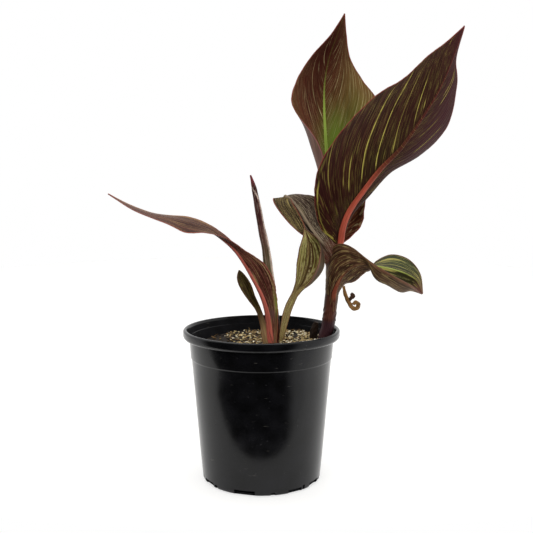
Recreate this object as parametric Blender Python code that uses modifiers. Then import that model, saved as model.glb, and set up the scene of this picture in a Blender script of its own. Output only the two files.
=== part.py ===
"""Canna lily plant in a plain nursery pot.

Metres, +Z up. The origin is the middle of the pot's underside, and the plant's broad side faces -Y.
The right shoot has a stem with four leaves, and the young left shoot has a rolled leaf and three more.
"""

import math
import random

import bmesh
import bpy
from mathutils import Matrix, Vector, noise

MM = 0.001
GAP = 0.3 * MM

# Pot
POT_HEIGHT = 160.5 * MM
RIM_RADIUS = 82.5 * MM
UNDER_RIM = 150.4 * MM
WALL_TOP_RADIUS = 76.0 * MM
STEP_HEIGHT = 130.4 * MM
STEP_OUTER_RADIUS = 74.6 * MM
STEP_RADIUS = 73.7 * MM
BASE_RADIUS = 62.9 * MM
BASE_CORNER = 3.5 * MM
WALL = 1.6 * MM
FLOOR = 2.2 * MM
FLOOR_CORNER = 1.5 * MM
LEDGE_HEIGHT = 152.4 * MM
POT_STEPS = 48
# Recesses in the bottom edge, as start angle, end angle and height, repeated three times round the pot.
EDGE_RECESSES = [(-50, -46, 4.0), (-26, -6, 4.5), (9, 13, 3.0), (26, 41, 4.0), (42.5, 45, 5.5), (52, 68, 5.0)]
RECESS_REACH = 5.0 * MM

# Soil
SOIL_LEVEL = 145.0 * MM
SOIL_STEPS = 42
SOIL_RINGS = 11
CHIP_COUNT = 50
SEED = 11

# Shoots, as points in millimetres with the radius there
STEM_RIGHT = [
    (63.8, 0, 126, 5.6),
    (64.8, 0, 138, 6.2),
    (66.0, 0, 147, 6.5),
    (67.2, 0, 153, 6.7),
    (69.8, 0, 161, 6.9),
    (71.5, 0, 172, 7.0),
    (73.2, 0, 190, 6.9),
    (74.8, 0, 205, 6.8),
    (75.6, 0, 222, 6.2),
    (76.4, 0, 238, 5.4),
    (78.0, 0, 254, 4.4),
    (79.0, 1, 264, 3.0),
]
STEM_LEFT = [
    (14.0, -9, 118, 4.8),
    (14.0, -9, 134, 5.2),
    (14.0, -9, 147, 5.2),
    (14.4, -9, 166, 4.7),
    (13.6, -9, 182, 4.0),
]
SPEAR = [
    (13.4, -9, 182.6, 3.8),
    (11.4, -9, 197, 4.2),
    (8.9, -9, 213, 4.6),
    (6.6, -9, 230, 4.5),
    (4.1, -9, 248, 4.1),
    (0.3, -9, 266, 3.8),
    (-3.1, -9, 285, 3.4),
    (-6.5, -9, 303, 2.9),
    (-8.8, -9, 313.5, 2.0),
    (-11.1, -9, 321.4, 0.6),
]
STUB = [
    (55.5, 9.0, 130, 3.8),
    (55.5, 9.0, 146, 4.6),
    (56.5, 8.5, 157, 4.2),
    (58.8, 7.5, 165.5, 2.4),
]
WITHERED_TIP = [
    (85.6, -5.2, 207.0, 0.9),
    (88.0, -6.5, 197, 1.3),
    (92.0, -6.5, 190, 1.8),
    (98.0, -7.0, 184.5, 2.2),
    (103.0, -8.0, 188.0, 1.9),
    (101.0, -9.0, 193.5, 1.5),
    (97.0, -8.5, 192.0, 1.0),
]

# Leaves. Each row is a station, from foot to tip, in millimetres: a point on the midrib, on the left
# margin and on the right margin, then how far the middle of each half bows out of its straight line.
LEAF_UPPER_RIGHT = [
    ((81.5, -3, 250), (77, -4, 249), (84, 0, 250), (1, 1)),
    ((83, -9, 267), (62, -6, 266), (88, -3, 267), (3, 2)),
    ((89, -17, 285), (55, -10, 293), (95, -7, 285), (5, 3)),
    ((102, -24, 305), (58, -14, 327), (110, -8, 302), (6, 4)),
    ((119, -31, 328), (80, -16, 364), (131, -6, 327), (6, 6)),
    ((138, -36, 348), (114, -18, 400), (161, -8, 341), (5, 5)),
    ((156, -38, 374), (142, -24, 417), (188, -14, 371), (4, 2)),
    ((174, -38, 404), (164, -30, 438), (195, -24, 411), (3, 1)),
    ((187, -35, 434), (181, -33, 451), (192, -30, 436), (1, 0)),
    ((199, -31, 467), (198.4, -31, 466.6), (199.6, -31, 466.2), (0, 0)),
]
LEAF_UPPER_LEFT = [
    ((79, 5, 252), (74, 4, 249), (85, 4, 249), (0, 0)),
    ((77, 10, 269), (73, 4, 267), (104, 4, 268), (-1, -3)),
    ((74, 16, 290), (69, 2, 290), (108, 5, 289), (-5, -4)),
    ((71, 26, 321), (66, 0, 329), (114, 12, 326), (-8, -5)),
    ((69, 33, 358), (56, 2, 359), (121, 17, 368), (-12, -5)),
    ((67, 35, 392), (33, 14, 393), (121, 22, 399), (-8, -5)),
    ((67, 31, 419), (36, 24, 418), (107, 24, 419), (-3, -3)),
    ((71, 25, 443), (51, 23, 443), (93, 22, 442), (-1, -1)),
    ((78, 16, 464), (71, 16, 465), (88, 15, 467), (0, 0)),
    ((85, 6, 485), (84.4, 6, 484.6), (85.6, 6, 484.6), (0, 0)),
]
LEAF_LEFT_ARCHED = [
    ((71.5, -2, 245), (70.5, -1, 243), (73, -3, 249), (1, 1)),
    ((61, -8, 254), (57, -8, 251), (66, -3, 260), (0, 0)),
    ((51, -10, 266), (43, -14, 261), (63, 4, 276), (0, 0)),
    ((40, -14, 283), (28, -20, 274), (59, 8, 296), (0, 0)),
    ((31, -18, 295), (18, -24, 288), (45, 2, 301), (0, 0)),
    ((24, -24, 300), (12, -30, 298), (31, -12, 301), (0, 0)),
    ((22, -32, 293), (14, -37, 292), (32, -28, 294), (0, 0)),
    ((31, -36, 278), (25, -39, 277), (40, -33, 279), (0, 0)),
    ((38, -37, 268), (35, -39, 267), (44, -35, 269), (0, 0)),
    ((43, -37, 261), (42.4, -37, 261), (43.6, -37, 261), (0, 0)),
]
LEAF_LOWER_RIGHT = [
    ((76, -8, 200), (68.5, 5, 202), (82, 1, 200), (4, 1)),
    ((80, -9, 211), (68.5, 5, 219), (88, 0, 208), (5, 1)),
    ((85, -10, 219), (70, 2, 239), (97, -3, 210), (5, 0)),
    ((92, -11, 225), (79, -11, 251), (104, -7, 217), (3, 0)),
    ((100, -12, 229), (93, -15, 248), (108, -8, 221), (1, 0)),
    ((109, -12, 230), (106, -15, 238), (113, -8, 223), (1, 1)),
    ((122, -12, 228), (118, -27, 229), (120, 0, 232), (13, 1)),
    ((136, -12, 225), (132, -33, 222), (137, 10, 238), (15, 1)),
    ((151, -13, 220), (148, -31, 213), (155, 5, 233), (17, 1)),
    ((161, -14, 213), (158, -25, 206), (166, -5, 219), (11, 0)),
    ((166.4, -17, 199.6), (165.8, -17.2, 199.4), (167, -16.8, 200), (0, 0)),
]
LEAF_LONG_LEFT = [
    ((10, -14.8, 148), (7.4, -11.5, 148), (15.8, -14, 148), (1, 1)),
    ((7, -15.5, 175), (8, -7, 173), (17, -14.5, 175), (2, 2)),
    ((1, -17, 196), (4, -3, 194), (16, -16, 196), (1, 1)),
    ((-9, -17, 216), (-4, 0, 216), (13, -18, 213), (0, 1)),
    ((-17, -16, 230), (-14, 2, 233), (3, -19, 231), (0, 1)),
    ((-26, -16, 243), (-24, -2, 245), (-15, -19, 244), (0, 0)),
    ((-37, -16, 254), (-36, -7, 259), (-35, -22, 258), (0, 0)),
    ((-54, -18, 266), (-52, -8, 270), (-56, -27, 263), (0, 0)),
    ((-75, -20, 274), (-74, -8, 278), (-75, -32, 264), (0, 0)),
    ((-95, -22, 279), (-96, -10, 281), (-92, -32, 272), (0, 0)),
    ((-113, -24, 283), (-114, -14, 284), (-111, -32, 279), (0, 0)),
    ((-132, -26, 290), (-134, -20, 292), (-131, -31, 288), (0, 0)),
    ((-154, -28, 303), (-153.6, -27.4, 303.2), (-153.6, -28.6, 302.8), (0, 0)),
]
LEAF_SMALL_LEFT = [
    ((4.8, -6.3, 148), (1.4, -4.3, 149), (6.6, -9.9, 149), (-1, -1)),
    ((1.0, -7.3, 166), (-1.6, -4.8, 165), (3.6, -9.3, 166), (-1, -1)),
    ((-4, -10, 183), (-6, -10, 181), (-1, -12, 184), (0, 0)),
    ((-11, -12, 195), (-14, -14, 193), (-7, -15, 198), (0, 0)),
    ((-16, -14, 207), (-22, -17, 206), (-11, -17, 210), (0, 0)),
    ((-21, -14, 217), (-25, -17, 216), (-17, -17, 219), (0, 0)),
    ((-23, -14, 224), (-23.6, -14, 223.7), (-22.4, -14, 224), (0, 0)),
]
LEAF_RIGHT_UPRIGHT = [
    ((21, -11, 148), (18.4, -14.6, 149), (23.5, -7, 149), (-1, -1)),
    ((24, -15, 167), (20, -19, 167), (27, -14, 166), (0, 0)),
    ((28, -20, 185), (24, -23, 186), (32, -19, 184), (0, 0)),
    ((35, -24, 202), (32, -27, 204), (38, -25, 199), (0, 0)),
    ((42, -28, 215), (35, -31, 217), (48, -37, 215), (0, -8)),
    ((47, -31, 232), (36, -36, 232), (56, -46, 232), (-1, -13)),
    ((48, -35, 249), (38, -39, 248), (59, -44, 249), (-1, -8)),
    ((46, -39, 259), (41, -40, 259), (55, -42, 260), (0, -2)),
    ((43, -40, 269), (42.4, -40, 268), (43.6, -40, 268), (0, 0)),
]
BLADE_THICKNESS = 0.8
EDGE_WAVE = 0.7
ROWS_PER_STATION = 2
RIB_COLUMNS = (0.0, 0.62, 1.0)
BLADE_COLUMNS = (0.38, 0.7, 1.0)


def clear_scene():
    for thing in list(bpy.data.objects):
        bpy.data.objects.remove(thing, do_unlink=True)


def new_collection(name):
    made = bpy.data.collections.new(name)
    bpy.context.scene.collection.children.link(made)
    return made


def material(name, colour, roughness, metallic=0.0):
    made = bpy.data.materials.new(name)
    made.use_nodes = True
    shader = made.node_tree.nodes["Principled BSDF"]
    shader.inputs["Base Color"].default_value = (*colour, 1.0)
    shader.inputs["Roughness"].default_value = roughness
    shader.inputs["Metallic"].default_value = metallic
    made.diffuse_color = (*colour, 1.0)
    return made


def add_object(name, mesh, home, finish=None):
    made = bpy.data.objects.new(name, mesh)
    home.objects.link(made)
    if finish:
        mesh.materials.append(finish)
    return made


def as_mesh(source, name, home, finish=None):
    """The evaluated object as a plain mesh in world space, its loose caps welded; the source is removed."""
    bpy.context.view_layer.update()
    graph = bpy.context.evaluated_depsgraph_get()
    mesh = bpy.data.meshes.new_from_object(source.evaluated_get(graph), depsgraph=graph)
    mesh.transform(source.matrix_world)
    shape = bmesh.new()
    shape.from_mesh(mesh)
    bmesh.ops.remove_doubles(shape, verts=shape.verts, dist=0.01 * MM)
    bmesh.ops.recalc_face_normals(shape, faces=shape.faces)
    shape.to_mesh(mesh)
    shape.free()
    mesh.materials.clear()
    bpy.data.objects.remove(source, do_unlink=True)
    return add_object(name, mesh, home, finish)


def cut(target, cutters, operation="DIFFERENCE"):
    """One applied Boolean of the target with all the cutters, which are then removed."""
    helpers = bpy.data.collections.new("helpers")
    bpy.context.scene.collection.children.link(helpers)
    for cutter in cutters:
        for home in list(cutter.users_collection):
            home.objects.unlink(cutter)
        helpers.objects.link(cutter)
    change = target.modifiers.new("cut", "BOOLEAN")
    change.operation = operation
    change.operand_type = "COLLECTION"
    change.collection = helpers
    change.solver = "EXACT"
    bpy.context.view_layer.update()
    graph = bpy.context.evaluated_depsgraph_get()
    mesh = bpy.data.meshes.new_from_object(target.evaluated_get(graph), depsgraph=graph)
    target.modifiers.remove(change)
    target.data = mesh
    for cutter in cutters:
        bpy.data.objects.remove(cutter, do_unlink=True)
    bpy.data.collections.remove(helpers)


def keep_largest(target):
    """Drops every loose scrap that a cut left."""
    shape = bmesh.new()
    shape.from_mesh(target.data)
    left = set(shape.verts)
    bodies = []
    while left:
        edge = [left.pop()]
        body = set(edge)
        while edge:
            for line in edge.pop().link_edges:
                for point in line.verts:
                    if point in left:
                        left.discard(point)
                        body.add(point)
                        edge.append(point)
        bodies.append(body)
    bodies.sort(key=len)
    for body in bodies[:-1]:
        bmesh.ops.delete(shape, geom=list(body), context="VERTS")
    shape.to_mesh(target.data)
    shape.free()


def shade_round(target, degrees=35):
    target.data.shade_smooth()
    target.data.set_sharp_from_angle(angle=math.radians(degrees))


def tube(name, points, home, finish=None, grow=0.0, sides_setting=3, steps=4):
    """A tapered round shoot through points of (x, y, z, radius) in millimetres."""
    line = bpy.data.curves.new(name, "CURVE")
    line.dimensions = "3D"
    line.resolution_u = steps
    line.bevel_depth = 1.0 * MM
    line.bevel_resolution = sides_setting
    line.use_fill_caps = True
    spline = line.splines.new("BEZIER")
    spline.bezier_points.add(len(points) - 1)
    for knot, (x, y, z, radius) in zip(spline.bezier_points, points):
        knot.co = (x * MM, y * MM, z * MM)
        knot.radius = radius + grow
        knot.handle_left_type = "AUTO"
        knot.handle_right_type = "AUTO"
    made = bpy.data.objects.new(name + "_line", line)
    home.objects.link(made)
    return as_mesh(made, name, home, finish)


def through(values, at):
    """A smooth curve through evenly numbered values, read at a place between them."""
    last = len(values) - 1
    low = min(int(at), last - 1)
    part = at - low
    before = values[max(low - 1, 0)]
    here = values[low]
    after = values[low + 1]
    beyond = values[min(low + 2, last)]
    slope_here = (after - before) * 0.5
    slope_after = (beyond - here) * 0.5
    square = part * part
    cube = square * part
    return (
        here * (2 * cube - 3 * square + 1)
        + slope_here * (cube - 2 * square + part)
        + after * (3 * square - 2 * cube)
        + slope_after * (cube - square)
    )


def leaf(name, stations, rib_width, rib_depth, rib_side, home, finish):
    """A blade lofted over its stations. The midrib stands out on one side of it and thins to the tip."""
    ribs = [Vector(row[0]) for row in stations]
    lefts = [Vector(row[1]) for row in stations]
    rights = [Vector(row[2]) for row in stations]
    bows = [Vector((row[3][0], row[3][1], 0.0)) for row in stations]
    last = len(stations) - 1
    rows = last * ROWS_PER_STATION
    columns = len(RIB_COLUMNS) + len(BLADE_COLUMNS) - 1
    shape = bmesh.new()
    bmesh.ops.create_grid(shape, x_segments=2 * columns, y_segments=rows, size=0.5)
    weights = shape.verts.layers.deform.verify()
    for point in shape.verts:
        column = round((point.co.x + 0.5) * 2 * columns) - columns
        along = (point.co.y + 0.5) * last
        rib = through(ribs, along)
        ahead = through(ribs, min(along + 0.2, last)) - through(ribs, max(along - 0.2, 0.0))
        margin = through(lefts if column < 0 else rights, along)
        out = margin - rib
        width = max(out.length, 0.3)
        normal = ahead.cross(out) if column < 0 else out.cross(ahead)
        normal.normalize()
        bow = through(bows, along)[0 if column < 0 else 1]
        share = along / last
        rib_half = min(rib_width * 0.5 * (1.0 - share) + 0.3, 0.6 * width)
        step = abs(column)
        if step < len(RIB_COLUMNS):
            across = RIB_COLUMNS[step] * rib_half / width
            swell = math.sqrt(max(1.0 - RIB_COLUMNS[step] ** 2, 0.0))
        else:
            across = rib_half / width
            across += (1.0 - across) * BLADE_COLUMNS[step - len(RIB_COLUMNS)]
            swell = 0.0
        wave = EDGE_WAVE * math.sin(2.1 * along + (0.8 if column < 0 else 2.3)) * min(width / 12.0, 1.0)
        lift = 4.0 * bow * across * (1.0 - across) + wave * across**3 * math.sin(math.pi * share)
        point.co = (rib + out * across + normal * lift) * MM
        depth = BLADE_THICKNESS + rib_depth * (1.0 - share) * swell
        point[weights][0] = depth / (rib_depth + BLADE_THICKNESS)
    mesh = bpy.data.meshes.new(name)
    shape.to_mesh(mesh)
    shape.free()
    made = add_object(name, mesh, home, finish)
    made.vertex_groups.new(name="thickness")
    split = made.modifiers.new("split", "TRIANGULATE")
    split.quad_method = "SHORTEST_DIAGONAL"
    wall = made.modifiers.new("thickness", "SOLIDIFY")
    wall.thickness = (rib_depth + BLADE_THICKNESS) * MM
    wall.vertex_group = "thickness"
    wall.offset = rib_side
    return as_mesh(made, name, home, finish)


def seat(blade, shoots, home):
    """Cuts a leaf clear of the stems that carry it, so that it lies against them with only the gap between."""
    cut(blade, [tube("seat", points, home, grow=GAP / MM, sides_setting=4) for points in shoots])
    keep_largest(blade)


def inner_radius(height):
    """The radius of the pot's inner wall at a height: one taper up to the step, and another above it."""
    low = (FLOOR + FLOOR_CORNER, BASE_RADIUS - WALL)
    step = (STEP_HEIGHT, STEP_RADIUS - WALL)
    high = (LEDGE_HEIGHT, WALL_TOP_RADIUS - WALL)
    start, end = (low, step) if height < STEP_HEIGHT else (step, high)
    return start[1] + (end[1] - start[1]) * (height - start[0]) / (end[0] - start[0])


def arc(centre, radius, start, end, count):
    """Points of a profile arc, as radius and height, from start to end in degrees."""
    turn = [math.radians(start + (end - start) * n / count) for n in range(count + 1)]
    return [(centre[0] + radius * math.cos(a), centre[1] + radius * math.sin(a)) for a in turn]


def pot_profile():
    """The pot's section, from the lip over the bead, down the outside and up the inside."""
    lip = 2.2 * MM
    bead = 4.5 * MM
    return (
        arc((RIM_RADIUS - lip, POT_HEIGHT - lip), lip, 120, 0, 4)
        + arc((RIM_RADIUS - bead, UNDER_RIM + bead), bead, -12, -84, 3)
        + [(WALL_TOP_RADIUS, UNDER_RIM - 0.2 * MM)]
        + [(STEP_OUTER_RADIUS, STEP_HEIGHT + 0.6 * MM), (STEP_RADIUS, STEP_HEIGHT - 0.6 * MM)]
        + arc((BASE_RADIUS - BASE_CORNER, BASE_CORNER), BASE_CORNER, 0, -90, 3)
        + [(0.0, 0.0), (0.0, FLOOR)]
        + [(BASE_RADIUS - WALL - FLOOR_CORNER, FLOOR), (BASE_RADIUS - WALL, FLOOR + FLOOR_CORNER)]
        + [(STEP_RADIUS - WALL, STEP_HEIGHT), (WALL_TOP_RADIUS - WALL, LEDGE_HEIGHT)]
        + [(RIM_RADIUS - 5.4 * MM, LEDGE_HEIGHT + 0.4 * MM), (RIM_RADIUS - 4.4 * MM, POT_HEIGHT - 1.6 * MM)]
    )


def turned(name, profile, steps, home, finish=None):
    mesh = bpy.data.meshes.new(name)
    count = len(profile)
    mesh.from_pydata([(r, 0.0, z) for r, z in profile], [(n, (n + 1) % count) for n in range(count)], [])
    made = add_object(name + "_profile", mesh, home)
    spin = made.modifiers.new("turn", "SCREW")
    spin.steps = steps
    spin.render_steps = steps
    spin.use_merge_vertices = True
    spin.merge_threshold = 0.00005
    spin.use_normal_calculate = False
    return as_mesh(made, name, home, finish)


def block(name, size, place, turn, home):
    """A box with its middle at a place, then turned about the pot's axis."""
    mesh = bpy.data.meshes.new(name)
    shape = bmesh.new()
    bmesh.ops.create_cube(shape, size=1.0)
    bmesh.ops.scale(shape, vec=size, verts=shape.verts)
    bmesh.ops.translate(shape, vec=place, verts=shape.verts)
    bmesh.ops.rotate(shape, cent=(0, 0, 0), matrix=Matrix.Rotation(turn, 3, "Z"), verts=shape.verts)
    shape.to_mesh(mesh)
    shape.free()
    return add_object(name, mesh, home)


def make_pot(home, finish):
    pot = turned("pot", pot_profile(), POT_STEPS, home, finish)
    cutters = []
    for third in range(3):
        for start, end, height in EDGE_RECESSES:
            span = math.radians(end - start) * BASE_RADIUS
            middle = math.radians((start + end) / 2 + 120 * third)
            size = (span, 2 * RECESS_REACH, 2 * height * MM)
            cutters.append(block("recess", size, (0.0, -BASE_RADIUS - 1.0 * MM, 0.0), middle, home))
    cut(pot, cutters)
    shade_round(pot)
    return pot


def soil_height(x, y):
    """The soil's surface: lower on the left, heaped a little round the shoots, and crumbled all over."""
    across = x / WALL_TOP_RADIUS
    level = SOIL_LEVEL - 7.0 * MM * max(-across - 0.15, 0.0) ** 1.3 + 1.2 * MM * max(across, 0.0)
    coarse = noise.noise(Vector((x, y, 0.0)) * 120.0)
    fine = noise.noise(Vector((x, y, 3.0 * MM)) * 330.0)
    edge = min((WALL_TOP_RADIUS - math.hypot(x, y)) / (8.0 * MM), 1.0)
    return level + (1.1 * coarse + 0.9 * fine) * MM * edge


def hole(points, home):
    """The plain round hole that a shoot stands in, with the gap all round and under it."""
    x, y, z, radius = points[0]
    lowered = [(x, y, z - 0.5, radius)] + points[1:]
    return tube("hole", lowered, home, grow=GAP / MM, sides_setting=4)


def make_soil(home, finish):
    """The root ball, filling the pot, with chips of bark and grit sunk into its top."""
    room = GAP + 0.1 * MM
    foot = FLOOR + GAP
    sides = [
        (inner_radius(SOIL_LEVEL) - room, SOIL_LEVEL),
        (inner_radius(STEP_HEIGHT) - room, STEP_HEIGHT),
        (inner_radius(foot + 2 * FLOOR_CORNER) - room, foot + 2 * FLOOR_CORNER),
        (BASE_RADIUS - WALL - 2 * FLOOR_CORNER, foot),
        (0.0, foot),
    ]
    top = [(sides[0][0] * n / SOIL_RINGS, SOIL_LEVEL) for n in range(SOIL_RINGS)]
    soil = turned("soil", sides + top, SOIL_STEPS, home, finish)
    for point in soil.data.vertices:
        if point.co.z > SOIL_LEVEL - 0.1 * MM:
            point.co.z = soil_height(point.co.x, point.co.y)
            narrowing = inner_radius(min(point.co.z, SOIL_LEVEL)) / inner_radius(SOIL_LEVEL)
            point.co.x *= narrowing
            point.co.y *= narrowing
    draw = random.Random(SEED)
    shoots = [(STEM_RIGHT[0], 14.0), (STEM_LEFT[0], 19.0), (STUB[0], 11.0)]
    chips = []
    while len(chips) < CHIP_COUNT:
        reach = 68.0 * math.sqrt(draw.random())
        turn = draw.uniform(0.0, 2.0 * math.pi)
        x, y = reach * math.cos(turn), reach * math.sin(turn)
        size = Vector((draw.uniform(1.3, 2.6), draw.uniform(1.0, 1.9), draw.uniform(0.9, 1.4)))
        tilt = [draw.uniform(-0.5, 0.5), draw.uniform(-0.5, 0.5), draw.uniform(0.0, 6.3)]
        if any(math.hypot(x - foot[0], y - foot[1]) < room for foot, room in shoots):
            continue
        mesh = bpy.data.meshes.new("chip")
        shape = bmesh.new()
        bmesh.ops.create_icosphere(shape, subdivisions=1, radius=1.0)
        bmesh.ops.scale(shape, vec=size * MM, verts=shape.verts)
        for number, axis in enumerate("XYZ"):
            bmesh.ops.rotate(shape, cent=(0, 0, 0), matrix=Matrix.Rotation(tilt[number], 3, axis), verts=shape.verts)
        place = Vector((x * MM, y * MM, soil_height(x * MM, y * MM) + 0.1 * MM))
        bmesh.ops.translate(shape, vec=place, verts=shape.verts)
        shape.to_mesh(mesh)
        shape.free()
        chips.append(add_object("chip", mesh, home))
    cut(soil, chips, "UNION")
    cut(soil, [hole(points, home) for points in (STEM_RIGHT, STEM_LEFT, STUB)])
    keep_largest(soil)
    return soil


def main():
    clear_scene()
    plant = new_collection("canna_lily_plant")
    black_plastic = material("black_plastic", (0.012, 0.012, 0.014), 0.35)
    potting_mix = material("potting_mix", (0.10, 0.07, 0.04), 0.95)
    stem_brown = material("stem_brown", (0.060, 0.020, 0.022), 0.45)
    dark_leaf = material("dark_leaf", (0.045, 0.020, 0.014), 0.35)
    olive_leaf = material("olive_leaf", (0.120, 0.130, 0.035), 0.40)
    dry_brown = material("dry_brown", (0.110, 0.055, 0.020), 0.85)
    old_sheath = material("old_sheath", (0.016, 0.010, 0.008), 0.90)

    make_pot(plant, black_plastic)
    make_soil(plant, potting_mix)
    tube("stem_right", STEM_RIGHT, plant, stem_brown, sides_setting=4, steps=3)
    tube("stem_left", STEM_LEFT, plant, stem_brown, sides_setting=4)
    tube("leaf_rolled_spear", SPEAR, plant, dark_leaf, steps=3)
    tube("old_stem_stub", STUB, plant, old_sheath)
    tube("withered_tip", WITHERED_TIP, plant, dry_brown, sides_setting=2)

    for name, stations, rib_width, rib_depth, rib_side, shoots, finish in (
        ("leaf_upper_right", LEAF_UPPER_RIGHT, 6.3, 3.0, 1, [STEM_RIGHT], dark_leaf),
        ("leaf_upper_left", LEAF_UPPER_LEFT, 5.5, 3.0, -1, [STEM_RIGHT], dark_leaf),
        ("leaf_left_arched", LEAF_LEFT_ARCHED, 5.0, 2.4, 1, [STEM_RIGHT], dark_leaf),
        ("leaf_lower_right", LEAF_LOWER_RIGHT, 6.0, 1.8, 1, [STEM_RIGHT], dark_leaf),
        ("leaf_long_left", LEAF_LONG_LEFT, 6.0, 1.8, 1, [STEM_LEFT, SPEAR], dark_leaf),
        ("leaf_small_left", LEAF_SMALL_LEFT, 4.0, 1.4, -1, [STEM_LEFT], olive_leaf),
        ("leaf_right_upright", LEAF_RIGHT_UPRIGHT, 4.5, 1.6, -1, [STEM_LEFT], olive_leaf),
    ):
        blade = leaf(name, stations, rib_width, rib_depth, rib_side, plant, finish)
        seat(blade, shoots, plant)


main()
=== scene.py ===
# %% [markdown]
# # A young canna lily in its nursery pot
# A canna grows from a thick root. Each shoot is a stack of leaves whose bases wrap round one another,
# and each leaf opens from a tight roll into a broad blade with a strong midrib and slanting veins.
# The CAD solids give every piece its place and size. This script dresses them: finer leaf blades with
# veins, ribs and streaks, a turned plastic pot, and potting mix made of real grains.

# %% Load the frame
import math
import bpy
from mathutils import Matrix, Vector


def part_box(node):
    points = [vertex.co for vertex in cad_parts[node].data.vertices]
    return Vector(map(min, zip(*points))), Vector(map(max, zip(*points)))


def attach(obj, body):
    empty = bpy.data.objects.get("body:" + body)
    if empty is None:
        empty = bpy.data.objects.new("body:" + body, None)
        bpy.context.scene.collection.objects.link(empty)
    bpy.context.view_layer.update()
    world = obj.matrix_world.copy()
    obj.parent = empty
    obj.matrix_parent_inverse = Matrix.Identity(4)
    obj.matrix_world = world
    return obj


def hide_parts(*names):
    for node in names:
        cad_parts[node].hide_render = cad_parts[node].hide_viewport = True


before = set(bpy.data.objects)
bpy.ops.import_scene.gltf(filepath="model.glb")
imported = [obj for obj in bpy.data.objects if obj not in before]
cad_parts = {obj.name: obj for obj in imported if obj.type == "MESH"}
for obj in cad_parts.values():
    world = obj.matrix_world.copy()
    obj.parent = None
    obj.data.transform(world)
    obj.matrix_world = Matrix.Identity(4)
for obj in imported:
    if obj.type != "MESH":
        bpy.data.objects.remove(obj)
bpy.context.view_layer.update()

from types import SimpleNamespace

import bpy
import numpy as np

MM = 0.001
print("CAD nodes:", len(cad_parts))

# %% [markdown]
# ## Colours and nodes
# Colours are written as the hex values that a colour picker shows. Blender's shaders work in linear
# light, so one function turns the hex value into linear numbers. A second function adds a shader
# node, sets it and links it, because every material below is a handful of such nodes. A Mix node has
# a set of sockets for each kind of data, so its colour sockets go by number.

# %% Colour and node helpers
MIX_COLOURS = {"data_type": "RGBA"}
FACTOR, UNDER, OVER, MIXED = 0, 6, 7, 2


def colour(hex_value):
    """Linear RGBA from an sRGB hex value such as #A0522D."""
    parts = [int(hex_value[n:n + 2], 16) / 255 for n in (1, 3, 5)]
    linear = [p / 12.92 if p <= 0.04045 else ((p + 0.055) / 1.055) ** 2.4 for p in parts]
    return (*linear, 1.0)


def add(tree, kind, settings=None, inputs=None, stops=None, out=0):
    """Adds a node with its settings, its values and links and a ramp's stops, and gives back one of
    its outputs. The inputs go by name or number, or in order where they are a tuple."""
    node = tree.nodes.new(kind)
    for name, value in (settings or {}).items():
        setattr(node, name, value)
    if isinstance(inputs, tuple):
        inputs = dict(enumerate(inputs))
    for name, value in (inputs or {}).items():
        if isinstance(value, bpy.types.NodeSocket):
            tree.links.new(value, node.inputs[name])
        else:
            node.inputs[name].default_value = value
    if stops:
        ramp = node.color_ramp
        while len(ramp.elements) < len(stops):
            ramp.elements.new(0.5)
        for element, (place, value) in zip(ramp.elements, stops):
            element.position = place
            element.color = value if isinstance(value, tuple) else (value, value, value, 1.0)
    return node.outputs[out]


def new_material(name):
    """An empty node material, its node tree and its Principled shader."""
    made = bpy.data.materials.new(name)
    made.use_nodes = True
    return made, made.node_tree, made.node_tree.nodes["Principled BSDF"]


def per_grain(size):
    """The scale that makes one grain of a noise this many millimetres wide."""
    return 1 / (size * MM)


print("mid grey #808080 is", round(colour("#808080")[0], 3), "in linear light")

# %% [markdown]
# ## Starting and finishing a piece
# An operator acts on all that is selected, so everything is deselected before a piece is started. A finished
# piece has its modifiers applied and its faces outwards. It rides on the one body and takes the place of its
# CAD node. Doing that in one place keeps every piece alike.

# %% Piece helpers
def start_piece():
    """Deselects everything, so that an operator acts on the new piece alone."""
    if bpy.context.object and bpy.context.object.mode != "OBJECT":
        bpy.ops.object.mode_set(mode="OBJECT")
    bpy.ops.object.select_all(action="DESELECT")


def apply_all(piece):
    """Applies every modifier of a piece, in order."""
    start_piece()
    piece.select_set(True)
    bpy.context.view_layer.objects.active = piece
    for modifier in list(piece.modifiers):
        bpy.ops.object.modifier_apply(modifier=modifier.name)


def face_outwards(merge=0):
    """Merges points of the active piece that lie within merge, and turns its faces outwards."""
    bpy.ops.object.mode_set(mode="EDIT")
    bpy.ops.mesh.select_all(action="SELECT")
    if merge:
        bpy.ops.mesh.remove_doubles(threshold=merge)
    bpy.ops.mesh.normals_make_consistent(inside=False)
    bpy.ops.object.mode_set(mode="OBJECT")


def read_points(mesh):
    """The points of a mesh, as rows of x, y and z."""
    flat = np.empty(len(mesh.vertices) * 3)
    mesh.vertices.foreach_get("co", flat)
    return flat.reshape(-1, 3)


def finish_piece(piece, name, slot, *nodes):
    """Names a piece and puts it in place of CAD nodes. slot is not used."""
    piece.name = name
    piece.data.name = name
    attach(piece, "root")
    if nodes:
        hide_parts(*nodes)
    print(name, len(piece.data.polygons), "faces")


# %% [markdown]
# ## Camera
# The camera stands a little above the pot's rim and looks slightly down, as the photograph does. It
# could be placed by eye, but a fit to the ellipses of the rim, the step and the foot gives its
# height, its pitch and its focal length at once, so those numbers are used.

# %% Camera
CAMERA_PLACE = (5.3 * MM, -885 * MM, 329 * MM)
CAMERA_PITCH = math.radians(6.64)
FOCAL_PIXELS = 850
FRAME_PIXELS = 533
SENSOR_WIDTH = 36

bpy.ops.object.camera_add(location=CAMERA_PLACE, rotation=(math.pi / 2 - CAMERA_PITCH, 0, 0))
camera = bpy.context.object
camera.data.sensor_width = SENSOR_WIDTH
camera.data.lens = SENSOR_WIDTH * FOCAL_PIXELS / FRAME_PIXELS
bpy.context.scene.camera = camera
bpy.context.scene.view_settings.view_transform = "Standard"
print("lens", round(camera.data.lens, 1), "mm")

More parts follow.
